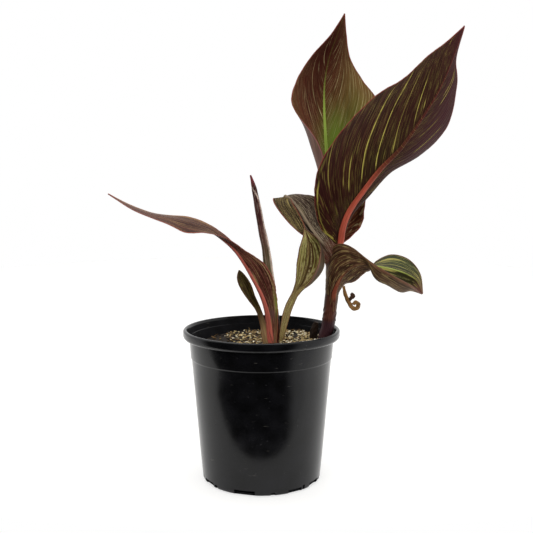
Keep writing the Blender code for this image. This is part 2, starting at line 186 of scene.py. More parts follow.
# %% [markdown]
# ## Floor
# The pot stands on a white table that runs into a white background. A glossy black wall shows where
# the table ends, so the table is a disc that is pushed back until its near edge lies close to the
# pot. It glows a little, because a bright table comes out almost pure white in a photograph.

# %% Floor
FLOOR_RADIUS = 1.2
FLOOR_BACK = 1.062
FLOOR_LEVEL = -0.2 * MM

start_piece()
bpy.ops.mesh.primitive_circle_add(
    vertices=96, radius=FLOOR_RADIUS, fill_type="NGON", location=(0, FLOOR_BACK, FLOOR_LEVEL)
)
floor = bpy.context.object
floor.name = "floor"
# Matt laminate: white and even, with soft shadows only and no shine.
floor_paint, tree, shader = new_material("matt_white_table")
shader.inputs["Base Color"].default_value = colour("#BDBCB9")
shader.inputs["Roughness"].default_value = 0.8
shader.inputs["Emission Color"].default_value = colour("#FFFFFF")
shader.inputs["Emission Strength"].default_value = 0.6
floor.data.materials.append(floor_paint)
print("near edge of the floor", round((FLOOR_RADIUS - FLOOR_BACK) / MM), "mm before the pot's middle")

# %% [markdown]
# ## Lamps
# The light is soft and comes from above and in front, so the shadow under the pot is faint. Large
# square lamps give that. A lamp in front would show as a bright square on the glossy wall, so the two
# front lamps light the leaves without showing in reflections.

# %% Lamps
def softbox(name, place, turn, size, power, glossy=True):
    """A square lamp. One that is not glossy lights a surface without showing in its reflections."""
    start_piece()
    bpy.ops.object.light_add(type="AREA", location=place, rotation=[math.radians(a) for a in turn])
    lamp = bpy.context.object
    lamp.name = name
    lamp.data.shape = "RECTANGLE"
    lamp.data.size = size
    lamp.data.size_y = size
    lamp.data.energy = power
    lamp.visible_glossy = glossy
    print(name, power, "W")


softbox("key_front", (-0.5, -1.3, 1.3), (48, 0, -21), 1.2, 13, glossy=False)
softbox("fill_front", (0.7, -1.2, 0.6), (70, 0, 30), 1.0, 6, glossy=False)
softbox("top", (0, 0.1, 1.5), (0, 0, 0), 1.4, 7)

# %% [markdown]
# ## Surroundings
# A glossy black pot shows its surroundings more than its own colour: pale to both sides and behind,
# dark on the viewer's side. Panels round the scene could do this, but one soft cone of darkness in
# the world's own light is simpler. The camera itself sees plain white.

# %% Surroundings
DARK_SIDE = (-0.3, -0.954, 0)
CONE_EDGE, CONE_HEART = (0.18, 0.95), (0.42, 0.01)

world = bpy.data.worlds.new("studio")
bpy.context.scene.world = world
world.use_nodes = True
tree = world.node_tree
direction = add(tree, "ShaderNodeTexCoord", out="Generated")
towards = add(tree, "ShaderNodeVectorMath", {"operation": "DOT_PRODUCT"}, (direction, DARK_SIDE), out="Value")
room = add(tree, "ShaderNodeValToRGB", inputs=(towards,), stops=[CONE_EDGE, CONE_HEART])
to_camera = add(tree, "ShaderNodeLightPath", out="Is Camera Ray")
white = (1.0, 1.0, 1.0, 1.0)
seen = add(tree, "ShaderNodeMix", MIX_COLOURS, {FACTOR: to_camera, UNDER: room, OVER: white}, out=MIXED)
background = tree.nodes["Background"]
tree.links.new(seen, background.inputs["Color"])
background.inputs["Strength"].default_value = 1.0
print("surroundings:", len(tree.nodes), "nodes")

# %% [markdown]
# ## The pot
# A nursery pot is blown or injection-moulded from black polypropylene: a thin tapered wall, a small
# step below the rim, and a rolled rim that stiffens the mouth. It could be a cylinder with rings cut
# into it, or a profile that is spun. Here a disc is extruded ring by ring from the foot up the
# outside, over the rim and down the inside, which leaves one closed wall with no seam.

# %% Pot sizes
pot_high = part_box("pot")[1]
POT_HEIGHT = pot_high.z
RIM_RADIUS = pot_high.x
BASE_RADIUS = 62.9 * MM
WALL = 1.6 * MM
FOOT = 2.2 * MM
UNDER_RIM = POT_HEIGHT - 10.1 * MM
STEP_HEIGHT = POT_HEIGHT - 30.1 * MM
WALL_TOP = RIM_RADIUS - 6.5 * MM
STEP_OUTER = RIM_RADIUS - 7.9 * MM
STEP_INNER = RIM_RADIUS - 8.8 * MM
LEDGE = POT_HEIGHT - 8.1 * MM
FOOT_CORNER, RIM_BEAD, RIM_LIP = 3.5 * MM, 4.5 * MM, 2.2 * MM
POT_SIDES = 144
print("pot height", round(POT_HEIGHT / MM, 1), "mm, rim", round(2 * RIM_RADIUS / MM, 1), "mm across")

# %% [markdown]
# ## The wall of the pot
# The rings are listed as a turner would follow the profile: up the outside, over the rim, and down the
# inside to the floor of the pot. A sharp corner would catch no light, so the foot and the rim are
# rounded by short arcs.

# %% Pot wall
def arc(middle, radius, start, end, count):
    """Points of a rounded corner as radius and height, from start to end in degrees."""
    turn = [math.radians(start + (end - start) * n / count) for n in range(count + 1)]
    return [(middle[0] + radius * math.cos(a), middle[1] + radius * math.sin(a)) for a in turn]


pot_rings = (
    arc((BASE_RADIUS - FOOT_CORNER, FOOT_CORNER), FOOT_CORNER, -90, 0, 6)
    + [(BASE_RADIUS + (STEP_INNER - BASE_RADIUS) * share, STEP_HEIGHT * share) for share in (0.2, 0.5, 0.8)]
    # The step, with its two corners eased
    + [(STEP_INNER, STEP_HEIGHT - 0.8 * MM), (STEP_INNER + 0.12 * MM, STEP_HEIGHT - 0.4 * MM)]
    + [(STEP_OUTER - 0.12 * MM, STEP_HEIGHT + 0.4 * MM), (STEP_OUTER, STEP_HEIGHT + 0.8 * MM)]
    # The rolled rim
    + [(WALL_TOP, UNDER_RIM - 0.3 * MM), (WALL_TOP + 0.5 * MM, UNDER_RIM)]
    + arc((RIM_RADIUS - RIM_BEAD, UNDER_RIM + RIM_BEAD), RIM_BEAD, -78, -8, 6)
    + arc((RIM_RADIUS - RIM_LIP, POT_HEIGHT - RIM_LIP), RIM_LIP, 0, 120, 8)
    + [(RIM_RADIUS - 4.6 * MM, POT_HEIGHT - 2.6 * MM), (RIM_RADIUS - 5.3 * MM, LEDGE + 0.8 * MM)]
    # The ledge inside the rim, then down the inside to the floor of the pot
    + [(RIM_RADIUS - 5.6 * MM, LEDGE + 0.3 * MM), (WALL_TOP - WALL + 0.3 * MM, LEDGE)]
    + [(WALL_TOP - WALL, LEDGE - 0.4 * MM), (STEP_INNER - WALL, STEP_HEIGHT)]
    + [(BASE_RADIUS - WALL, FOOT + 1.5 * MM), (BASE_RADIUS - WALL - 1.5 * MM, FOOT), (20 * MM, FOOT)]
)

start_piece()
radius, height = pot_rings[0]
bpy.ops.mesh.primitive_circle_add(vertices=POT_SIDES, radius=radius, fill_type="NGON", location=(0, 0, 0))
pot = bpy.context.object
bpy.ops.object.mode_set(mode="EDIT")
bpy.ops.mesh.select_all(action="SELECT")
for next_radius, next_height in pot_rings[1:]:
    bpy.ops.mesh.extrude_region_move(TRANSFORM_OT_translate={"value": (0, 0, next_height - height)})
    scale = next_radius / radius
    bpy.ops.transform.resize(value=(scale, scale, 1), center_override=(0, 0, next_height))
    radius, height = next_radius, next_height
face_outwards()
print("pot wall:", len(pot_rings), "rings of", POT_SIDES)

# %% [markdown]
# ## Recesses in the pot's foot
# The foot is not a plain ring: shallow recesses in its edge let water run off. They could be inset
# faces, but their ends don't fall on the wall's columns. So they are cut with small blocks, as wide
# and high as they show, repeated three times round the pot.

# %% Pot foot recesses
RECESS_REACH = 5 * MM
BLOCK_OUT = 1 * MM
# Start and end in degrees from the front, and height in millimetres
EDGE_RECESSES = [
    (-50, -46, 4.5), (-26, -6, 5.5), (9, 13, 3.5), (26, 41, 4.5), (42.5, 45, 6.0), (52, 68, 5.5),
]

blocks = []
for third in range(3):
    for start, end, rise in EDGE_RECESSES:
        middle = math.radians((start + end) / 2 + 120 * third)
        reach = BASE_RADIUS + BLOCK_OUT
        place = (math.sin(middle) * reach, -math.cos(middle) * reach, 0)
        start_piece()
        bpy.ops.mesh.primitive_cube_add(size=1, location=place, rotation=(0, 0, middle))
        block = bpy.context.object
        block.scale = (math.radians(end - start) * BASE_RADIUS, 2 * RECESS_REACH, 2 * rise * MM)
        blocks.append(block)
start_piece()
for block in blocks:
    block.select_set(True)
bpy.context.view_layer.objects.active = blocks[0]
bpy.ops.object.transform_apply(location=True, rotation=True, scale=True)
bpy.ops.object.join()
cutter = bpy.context.object
recess_cut = pot.modifiers.new("recesses", "BOOLEAN")
recess_cut.object = cutter
recess_cut.solver = "EXACT"
apply_all(pot)
bpy.data.objects.remove(cutter, do_unlink=True)
bpy.ops.object.shade_smooth_by_angle(angle=math.radians(32))
print("recesses:", len(blocks))

# %% [markdown]
# ## Pot plastic
# Black polypropylene comes out of the mould with a soft gloss. Handling leaves faint scuffs and dust,
# which show as slightly rougher, greyer patches, and the moulding leaves a very fine unevenness. Plain
# black would look like a hole in the picture, so noise of three sizes varies its colour and gloss.

# %% Pot plastic
CLOUD = 16.7
SPECK = 2.38
SCUFF = (11.1, 11.1, 2.38)

# Moulded polypropylene: deep black with a soft, broad highlight. The specks are real dust and scuffs
# of well under a millimetre, drawn coarser so that they show.
pot_plastic, tree, shader = new_material("moulded_black_polypropylene")
place = add(tree, "ShaderNodeTexCoord", out="Object")
cloud = add(tree, "ShaderNodeTexNoise", inputs={"Vector": place, "Scale": per_grain(CLOUD), "Detail": 4.0})
specks = add(tree, "ShaderNodeTexNoise", inputs={"Vector": place, "Scale": per_grain(SPECK), "Detail": 2.0})
stretch = add(tree, "ShaderNodeMapping", inputs={"Vector": place, "Scale": [per_grain(size) for size in SCUFF]})
scuffs = add(tree, "ShaderNodeTexNoise", inputs={"Vector": stretch, "Scale": 1.0, "Detail": 2.0})
skin = add(tree, "ShaderNodeValToRGB", inputs=(cloud,),
           stops=[(0.35, colour("#0A0A0B")), (0.8, colour("#17171A"))])
for noise, start, end, grey in [(specks, 0.72, 0.78, "#3A3A3C"), (scuffs, 0.71, 0.78, "#45433E")]:
    mask = add(tree, "ShaderNodeValToRGB", inputs=(noise,), stops=[(start, 0.0), (end, 1.0)])
    skin = add(tree, "ShaderNodeMix", MIX_COLOURS, {FACTOR: mask, UNDER: skin, OVER: colour(grey)}, out=MIXED)
tree.links.new(skin, shader.inputs["Base Color"])
gloss = add(tree, "ShaderNodeMapRange", inputs=(cloud, 0.3, 0.8, 0.15, 0.24))
tree.links.new(gloss, shader.inputs["Roughness"])
shader.inputs["Specular IOR Level"].default_value = 0.29
bump = add(tree, "ShaderNodeBump", inputs={"Height": specks, "Strength": 0.06, "Distance": 0.3 * MM})
tree.links.new(bump, shader.inputs["Normal"])
print(pot_plastic.name, len(tree.nodes), "nodes")

# %% [markdown]
# ## Inside of the pot
# Watering leaves a dry film on the inside of the wall, so it hardly shines. The same plastic is
# copied and dulled, and the faces that lie inside the wall and inside the rim take the copy.

# %% Pot inside
# Dulled polypropylene: the same black, but matt from dried water and dust.
pot_inside = pot_plastic.copy()
pot_inside.name = "dulled_black_polypropylene"
inner_shader = pot_inside.node_tree.nodes["Principled BSDF"]
pot_inside.node_tree.links.remove(inner_shader.inputs["Roughness"].links[0])
inner_shader.inputs["Roughness"].default_value = 0.75
inner_shader.inputs["Specular IOR Level"].default_value = 0.1
pot.data.materials.append(pot_plastic)
pot.data.materials.append(pot_inside)
for face in pot.data.polygons:
    face_radius = math.hypot(face.center.x, face.center.y)
    wall_radius = BASE_RADIUS + (WALL_TOP - BASE_RADIUS) * face.center.z / UNDER_RIM
    inside_wall = face_radius < wall_radius - WALL / 2 and FOOT / 2 < face.center.z < LEDGE - 0.2 * MM
    inside_rim = face_radius < RIM_RADIUS - 4.4 * MM and LEDGE + 0.5 * MM < face.center.z
    if inside_wall or inside_rim:
        face.material_index = 1
finish_piece(pot, "nursery_pot", "pot_plastic", "pot")

# %% [markdown]
# ## Potting mix
# The mix is dark composted fines with pale grit, perlite and tan bark chips on top. Its surface could
# be sculpted, or displaced by a texture. Here a grid is drawn in to a disc and moved up and down by a
# sum of waves, because the grains need to know its height at any place.

# %% Soil surface
SOIL_LEVEL = 145.0 * MM
SOIL_RADIUS = WALL_TOP - WALL - 1.2 * MM
SOIL_EDGE = 8 * MM
HALF_WIDTH = 76 * MM
LEFT_FALL, RIGHT_RISE = 7 * MM, 1.2 * MM
RIPPLE_PITCH, RIPPLE_HEIGHT = 90, 0.16 * MM
ripples = np.random.default_rng(5).normal(0, 1, (40, 4))


def soil_height(x, y):
    """The surface: lower on the left, and crumbled all over. It takes arrays, in metres."""
    across = x / HALF_WIDTH
    level = SOIL_LEVEL - LEFT_FALL * np.maximum(-across - 0.15, 0) ** 1.3 + RIGHT_RISE * np.maximum(across, 0)
    rough = sum(np.sin(r[0] * RIPPLE_PITCH * x + r[1] * RIPPLE_PITCH * y + 6 * r[2]) for r in ripples)
    edge = np.minimum((SOIL_RADIUS - np.hypot(x, y)) / SOIL_EDGE, 1)
    return level + rough * RIPPLE_HEIGHT * edge


start_piece()
bpy.ops.mesh.primitive_grid_add(x_subdivisions=150, y_subdivisions=150, size=2)
soil = bpy.context.object
flat = read_points(soil.data)
# The square grid is drawn in to a disc, so that its faces keep an even size.
square_x, square_y = flat[:, 0], flat[:, 1]
flat[:, 0], flat[:, 1] = (
    SOIL_RADIUS * square_x * np.sqrt(1 - square_y**2 / 2),
    SOIL_RADIUS * square_y * np.sqrt(1 - square_x**2 / 2),
)
flat[:, 2] = soil_height(flat[:, 0], flat[:, 1])
soil.data.vertices.foreach_set("co", flat.ravel())
soil.data.update()
skirt = soil.modifiers.new("skirt", "SOLIDIFY")
skirt.thickness = 4 * MM
skirt.offset = -1
apply_all(soil)
bpy.ops.object.shade_smooth()
print("soil from", round(flat[:, 2].min() / MM, 1), "to", round(flat[:, 2].max() / MM, 1), "mm up")

# %% [markdown]
# ## The mix's own material
# Under the grains lie damp fines. They are nearly black, and rough enough to swallow the light, so a
# fine noise sets both their colour and their crumbs.

# %% Soil material
CRUMB = 1.43

# Composted bark fines: dark, damp and crumbly, with no shine.
soil_mix, tree, shader = new_material("composted_bark_fines")
place = add(tree, "ShaderNodeTexCoord", out="Object")
crumb = add(tree, "ShaderNodeTexNoise", inputs={"Vector": place, "Scale": per_grain(CRUMB), "Detail": 5.0})
dark = add(tree, "ShaderNodeValToRGB", inputs=(crumb,),
           stops=[(0.3, colour("#0B0806")), (0.55, colour("#1E150E")), (0.75, colour("#4A3A26"))])
tree.links.new(dark, shader.inputs["Base Color"])
shader.inputs["Roughness"].default_value = 0.95
bump = add(tree, "ShaderNodeBump", inputs={"Height": crumb, "Strength": 0.8, "Distance": 1.0 * MM})
tree.links.new(bump, shader.inputs["Normal"])
soil.data.materials.append(soil_mix)
finish_piece(soil, "potting_mix_bed", "potting_mix", "soil")

# %% [markdown]
# ## Shapes of the grains
# Each kind of grain has a few shapes: blunt stones, flat chips and thin root fibres. An ico sphere has
# even faces and no poles, so it is the start of each. Its corners are pushed about by a seeded draw,
# and it is then squared off a little and stretched.

# %% Grain shapes
def grain_shape(seed, stretch, roughness):
    """One stone or chip, about 1 in radius before it is stretched: its points and its faces."""
    start_piece()
    bpy.ops.mesh.primitive_ico_sphere_add(subdivisions=2, radius=1)
    piece = bpy.context.object
    draw = np.random.default_rng(seed)
    points = np.array([v.co for v in piece.data.vertices])
    points *= 1 + draw.uniform(-roughness, roughness, (len(points), 1))
    points = np.sign(points) * np.abs(points) ** 0.85 * stretch
    faces = np.array([list(p.vertices) for p in piece.data.polygons])
    bpy.data.objects.remove(piece, do_unlink=True)
    return points, faces


stones = [grain_shape(n, (1.25, 0.85, 0.6), 0.3) for n in range(6)]
chips = [grain_shape(20 + n, (1.6, 0.7, 0.35), 0.28) for n in range(6)]
fibres = [grain_shape(40 + n, (6.0, 0.3, 0.3), 0.2) for n in range(3)]
print("faces of a stone:", len(stones[0][1]))

# %% [markdown]
# ## Strewing the grains
# Grains fall anywhere but where a shoot stands, and lie tilted and half sunk. Particles could do this,
# but a seeded rule in code gives plain meshes that are the same in each run. There is less grit on the
# left, where the mix lies lower, so a share of the draws there is thrown away.

# %% Strewing
# Middle of each shoot's foot and the bare room round it, in millimetres
FEET = [((66.5, 0), 7.5), ((14, -9), 9.5), ((56, 9), 4.5)]
MOST_TILT = 0.6


def turned(a, b, c):
    """The matrix that turns a grain by these angles about x, y and z."""
    turn_x = np.array([[1, 0, 0], [0, math.cos(a), -math.sin(a)], [0, math.sin(a), math.cos(a)]])
    turn_y = np.array([[math.cos(b), 0, math.sin(b)], [0, 1, 0], [-math.sin(b), 0, math.cos(b)]])
    turn_z = np.array([[math.cos(c), -math.sin(c), 0], [math.sin(c), math.cos(c), 0], [0, 0, 1]])
    return turn_z @ turn_y @ turn_x


def strew(name, count, sizes, shapes, finish, seed, sink, keep_out=0.0):
    """Many grains as one mesh, each turned, sized and toned by its own draw. sink is the share of a
    grain that lies under the surface, and keep_out is how many are left out on the left."""
    draw = np.random.default_rng(seed)
    all_points, all_faces, tones = [], [], []
    start = 0
    while len(tones) < count:
        reach = (SOIL_RADIUS - 1.5 * MM) * math.sqrt(draw.random())
        turn = draw.uniform(0, 2 * math.pi)
        x, y = reach * math.cos(turn), reach * math.sin(turn)
        if any(math.hypot(x / MM - foot[0], y / MM - foot[1]) < room for foot, room in FEET):
            continue
        if draw.random() < keep_out * max(0.0, -x / SOIL_RADIUS):
            continue
        points, faces = shapes[len(tones) % len(shapes)]
        size = draw.uniform(*sizes) * MM
        a, b = draw.uniform(-MOST_TILT, MOST_TILT), draw.uniform(-MOST_TILT, MOST_TILT)
        lie = turned(a, b, draw.uniform(0, 6.3))
        moved = points @ lie.T * size
        low = -moved[:, 2].min()
        moved += (x, y, float(soil_height(np.array(x), np.array(y))) + low * (1 - 2 * sink))
        all_points.append(moved)
        all_faces.append(faces + start)
        tones.append(np.full(len(points), draw.random()))
        start += len(points)
    mesh = bpy.data.meshes.new(name)
    mesh.from_pydata(np.concatenate(all_points).tolist(), [], np.concatenate(all_faces).tolist())
    tone = mesh.attributes.new("tone", "FLOAT", "POINT")
    tone.data.foreach_set("value", np.concatenate(tones).astype(np.float32))
    mesh.validate()
    piece = bpy.data.objects.new(name, mesh)
    bpy.context.scene.collection.objects.link(piece)
    mesh.materials.append(finish)
    finish_piece(piece, name, "potting_mix")


print("bare places:", len(FEET))

# %% [markdown]
# ## Finishes of the grains
# Crushed stone, pine bark and damp fines all vary from grain to grain. Each grain carries its own
# tone, which a colour ramp turns into a colour, so one material serves hundreds of grains. A mottle
# finer than a grain is added to the tone.

# %% Grain materials
MOTTLE = 0.833


def grain_material(name, stops, roughness):
    """A material whose colour comes from each grain's own tone, with a finer mottle on top."""
    made, tree, shader = new_material(name)
    tone = add(tree, "ShaderNodeAttribute", {"attribute_name": "tone"}, out="Fac")
    place = add(tree, "ShaderNodeTexCoord", out="Object")
    mottle_values = {"Vector": place, "Scale": per_grain(MOTTLE), "Detail": 2.0}
    mottle = add(tree, "ShaderNodeTexNoise", inputs=mottle_values)
    shade = add(tree, "ShaderNodeMath", {"operation": "MULTIPLY_ADD"}, (mottle, 0.5, -0.25))
    mixed = add(tree, "ShaderNodeMath", {"operation": "ADD"}, (tone, shade))
    ramp = add(tree, "ShaderNodeValToRGB", inputs=(mixed,), stops=[(at, colour(value)) for at, value in stops])
    tree.links.new(ramp, shader.inputs["Base Color"])
    shader.inputs["Roughness"].default_value = roughness
    return made


# Crushed stone and perlite: dry, cream to tan, the lightest thing on the mix.
pale_grit = grain_material(
    "pale_grit", [(0.0, "#6E5A34"), (0.35, "#B09A66"), (0.7, "#DCCB9C"), (1.0, "#FFF6DC")], 0.8
)
# Pine bark: fibrous and matt, from dark brown to straw.
bark = grain_material("pine_bark", [(0.0, "#2E2012"), (0.5, "#7E6038"), (1.0, "#CDB07A")], 0.9)
# Damp composted fines: almost black, so they read as gaps between the pale grains.
fines = grain_material("dark_fines", [(0.0, "#0A0705"), (0.6, "#241A10"), (1.0, "#4A3A22")], 0.95)
print("grain materials:", pale_grit.name, bark.name, fines.name)

# %% [markdown]
# ## The grains on the mix
# First come the dark fines, then bark chips and a few root fibres, and the pale grit lies on top, as
# it does when a pot is topped up. The grit is the most, and its grains are 1 to 4 mm long.

# %% Grains
strew("dark_fines_grains", 420, (0.5, 1.3), stones, fines, 31, 0.3)
strew("bark_chips", 360, (0.7, 1.8), chips, bark, 32, 0.1, keep_out=1.3)
strew("root_fibres", 70, (0.5, 0.9), fibres, bark, 34, 0.0)
strew("pale_grit_grains", 780, (0.45, 1.45), stones, pale_grit, 33, 0.05, keep_out=1.5)

# %% [markdown]
# ## Smooth curves through stations
# Leaves and shoots bend all along their length, so few numbers should give a smooth form. Bezier
# curves could be bevelled into tubes, but not into blades. Here the form is given at a few stations,
# and one function reads a smooth curve through them at any place between.

# %% Smooth curves
def smooth(rows, at):
    """Points on a smooth curve through evenly numbered rows, read at an array of places."""
    last = len(rows) - 1
    low = np.clip(np.floor(at).astype(int), 0, last - 1)
    part = (at - low)[:, None]
    before, here = rows[np.maximum(low - 1, 0)], rows[low]
    after, beyond = rows[low + 1], rows[np.minimum(low + 2, last)]
    slope_here, slope_after = (after - before) / 2, (beyond - here) / 2
    square, cube = part**2, part**3
    return (
        here * (2 * cube - 3 * square + 1) + slope_here * (cube - 2 * square + part)
        + after * (3 * square - 2 * cube) + slope_after * (cube - square)
    )


def walk(rows, steps):
    """The length of the smooth curve through rows whose first three columns are x, y and z."""
    fine = smooth(rows, np.linspace(0, len(rows) - 1, steps))[:, :3]
    return np.cumsum(np.linalg.norm(np.diff(fine, axis=0), axis=1))[-1]


def unit(vectors):
    """The same directions with a length of 1."""
    return vectors / np.maximum(np.linalg.norm(vectors, axis=1), 1e-9)[:, None]


def ease(value, start, end):
    """0 below start, 1 above end, and a soft rise between them."""
    share = np.clip((value - start) / (end - start), 0, 1)
    return share * share * (3 - 2 * share)


print("ease half way:", float(ease(0.5, 0, 1)))

# %% [markdown]
# ## Marks on the mesh
# A leaf's colours follow its own form: the midrib, the margin, the foot, and spots of green and
# purple. An image could hold them, but here each point of the mesh carries them as numbers, which the
# materials read by name. A UV map in millimetres, laid along the veins, guides the finer lines.

# %% Marks
MARKS = ("rib", "place", "edge", "green", "purple", "pale", "streak", "foot")


def write_marks(mesh, values, pattern):
    """Writes one attribute for each mark, and the pattern's place as the UV map."""
    for key in MARKS:
        mesh.attributes.new(key, "FLOAT", "POINT").data.foreach_set("value", values[key].astype(np.float32))
    corner = np.empty(len(mesh.loops), int)
    mesh.loops.foreach_get("vertex_index", corner)
    mesh.uv_layers[0].name = "veins"
    mesh.uv_layers[0].data.foreach_set("uv", pattern[corner].astype(np.float32).ravel())
    mesh.update()


def spots(form, places):
    """Soft spots on a blade, each (side -1 to 1, place 0 to 1, spread across, spread along, strength)."""
    total = np.zeros_like(form.share)
    for middle, place, wide, long, strength in places:
        across = (form.side * form.across - middle) / wide
        total += strength * np.exp(-(across**2) - ((form.share - place) / long) ** 2)
    return np.clip(total, 0, 1)


print("marks:", *MARKS)

# %% [markdown]
# ## The form of a blade
# A canna leaf is a sheath that wraps the stem, a short neck, and a blade. Its veins leave the midrib
# at a slant and bend towards the tip. A grid can be a leaf if its middle column lies on the midrib and
# its outer columns lie on the margins. So each leaf is a list of stations from foot to tip. A station
# has a point on the midrib, one on the left margin and one on the right margin, in millimetres, and
# how far each half bows out of its straight line. The rows of the grid slant as the veins do, so the
# low pleats between veins are real relief.

# %% Blade form
BLADE_THICKNESS, MARGIN_THICKNESS = 0.8, 0.5
EDGE_WAVE, EDGE_NIBBLE = 0.7, 0.3
RIB_COLUMNS, BLADE_COLUMNS = 6, 30
MOST_SLANT = 0.9
LOOK_AHEAD = 0.2
LEAST_WIDTH = 0.3
FULL_WAVE_WIDTH = 12


def blade_form(column, vein, stations, length, rib, sweep, pleat):
    """Where each point of a flat grid lies on the blade, and how thick the blade is there. column
    counts from the midrib, below 0 on the left, and vein runs from 0 at the foot to 1 at the tip."""
    ribs, lefts, rights = (np.array([row[n] for row in stations], float) for n in range(3))
    last = len(stations) - 1
    side = np.where(column < 0, -1.0, 1.0)
    on_left = side[:, None] < 0
    step = np.abs(column)

    # Across, the midrib's own round part comes first, then the blade out to the margin.
    blade_share = np.clip((step - RIB_COLUMNS) / BLADE_COLUMNS, 0, 1)
    rib_share = np.clip(step / RIB_COLUMNS, 0, 1)
    slant = np.minimum(sweep * (1 + vein + vein**2), MOST_SLANT)
    along = vein + slant * (1 - vein) * ease(vein, 0, 0.1) * blade_share
    at = np.clip(along, 0, 1) * last
    share = at / last
    midrib = smooth(ribs, at)
    out = np.where(on_left, smooth(lefts, at), smooth(rights, at)) - midrib
    ahead = smooth(ribs, np.minimum(at + LOOK_AHEAD, last)) - smooth(ribs, np.maximum(at - LOOK_AHEAD, 0))
    normal = unit(np.where(on_left, np.cross(ahead, out), np.cross(out, ahead)))
    width = np.maximum(np.linalg.norm(out, axis=1), LEAST_WIDTH)
    rib_half = np.minimum(rib[0] / 2 * (1 - share) + LEAST_WIDTH, 0.6 * width)
    rib_across = rib_half / width * np.sin(rib_share * math.pi / 2)
    across = rib_across + (1 - rib_across) * blade_share

    # Out of its plane a half bows, its margin waves, and low pleats run between the veins.
    bow_pair = smooth(np.array([row[3] for row in stations], float), at)
    bow = np.where(side < 0, bow_pair[:, 0], bow_pair[:, 1])
    narrow = np.minimum(width / FULL_WAVE_WIDTH, 1)
    wave = EDGE_WAVE * np.sin(2.1 * at + np.where(side < 0, 0.8, 2.3)) * narrow
    pitch, height = pleat
    folds = height * np.cos(2 * math.pi * vein * length / pitch + 1.5 * np.sin(vein * 37))
    fade = ease(across, 0.08, 0.3) * (1 - ease(across, 0.9, 1.0)) * ease(share, 0.05, 0.2) * (1 - share)
    folds *= fade * narrow
    lift = 4 * bow * across * (1 - across) + wave * across**3 * np.sin(math.pi * share) + folds

    # In its plane the margin is slightly uneven.
    travel = share * length + 7 * side
    nibble = EDGE_NIBBLE * (np.sin(travel / 2.3) + 0.6 * np.sin(travel / 0.9 + 1)) * narrow * (1 - share)
    reach = across + nibble / width * ease(across, 0.6, 1.0)
    points = midrib + out * reach[:, None] + normal * lift[:, None]

    swell = np.where(step < RIB_COLUMNS, np.cos(rib_share * math.pi / 2), 0.0)
    thin = BLADE_THICKNESS + (MARGIN_THICKNESS - BLADE_THICKNESS) * ease(blade_share, 0.6, 1.0)
    depth = thin + rib[1] * (1 - share) * swell
    half = np.linalg.norm(rights - ribs, axis=1).max()
    return SimpleNamespace(points=points, depth=depth, side=side, vein=vein, share=share, across=across,
                           width=width, blade_share=blade_share, rib_share=rib_share, half=half)


print("columns of a blade:", 2 * (RIB_COLUMNS + BLADE_COLUMNS))

# %% [markdown]
# ## Long streaks
# Here and there a whole vein lacks its red pigment and shows as a long yellow-green streak. Noise
# gives many fine dashes but can't place one line, so the long ones are marked on the mesh. A streak
# follows one vein: a row of a swept leaf, or a column of a straight-veined one. A real streak is
# about half a millimetre wide, and is drawn a little wider so that it shows.

# %% Streaks
STREAK_WIDTH = 0.65


def streak_lines(form, sweep, length, streaks, edge_lines):
    """How strongly each point is streaked, from streaks (side, vein, start, end, strength) and from
    lines beside the margin (side, distance from it in millimetres, start, end)."""
    streak = np.zeros_like(form.share)
    for on_side, place, start, end, strength in streaks:
        if sweep:
            near, along = np.abs(form.vein - place) * length, form.blade_share
        else:
            near, along = np.abs(form.blade_share - place) * form.width, form.share
        reach = ease(along, start - 0.02, start + 0.04) * (1 - ease(along, end - 0.08, end + 0.02))
        line = 1.2 * strength * np.clip(1.15 - near / STREAK_WIDTH, 0, 1) * reach
        streak = np.where(form.side == on_side, np.maximum(streak, line), streak)
    for on_side, away, start, end in edge_lines:
        near = np.abs((1 - form.across) * form.width - away)
        reach = ease(form.share, start, start + 0.05) * (1 - ease(form.share, end - 0.08, end))
        line = np.clip(1.15 - near / STREAK_WIDTH, 0, 1) * reach
        streak = np.where(form.side == on_side, np.maximum(streak, line), streak)
    return streak


print("streak width", STREAK_WIDTH, "mm to each side")

# %% [markdown]
# ## Making a leaf
# The grid is laid on its form, and Solidify gives the blade its thickness. A weight on each point
# makes the midrib stand out on the leaf's underside, and Solidify's material offsets give the front,
# the back and the margin each its own skin.

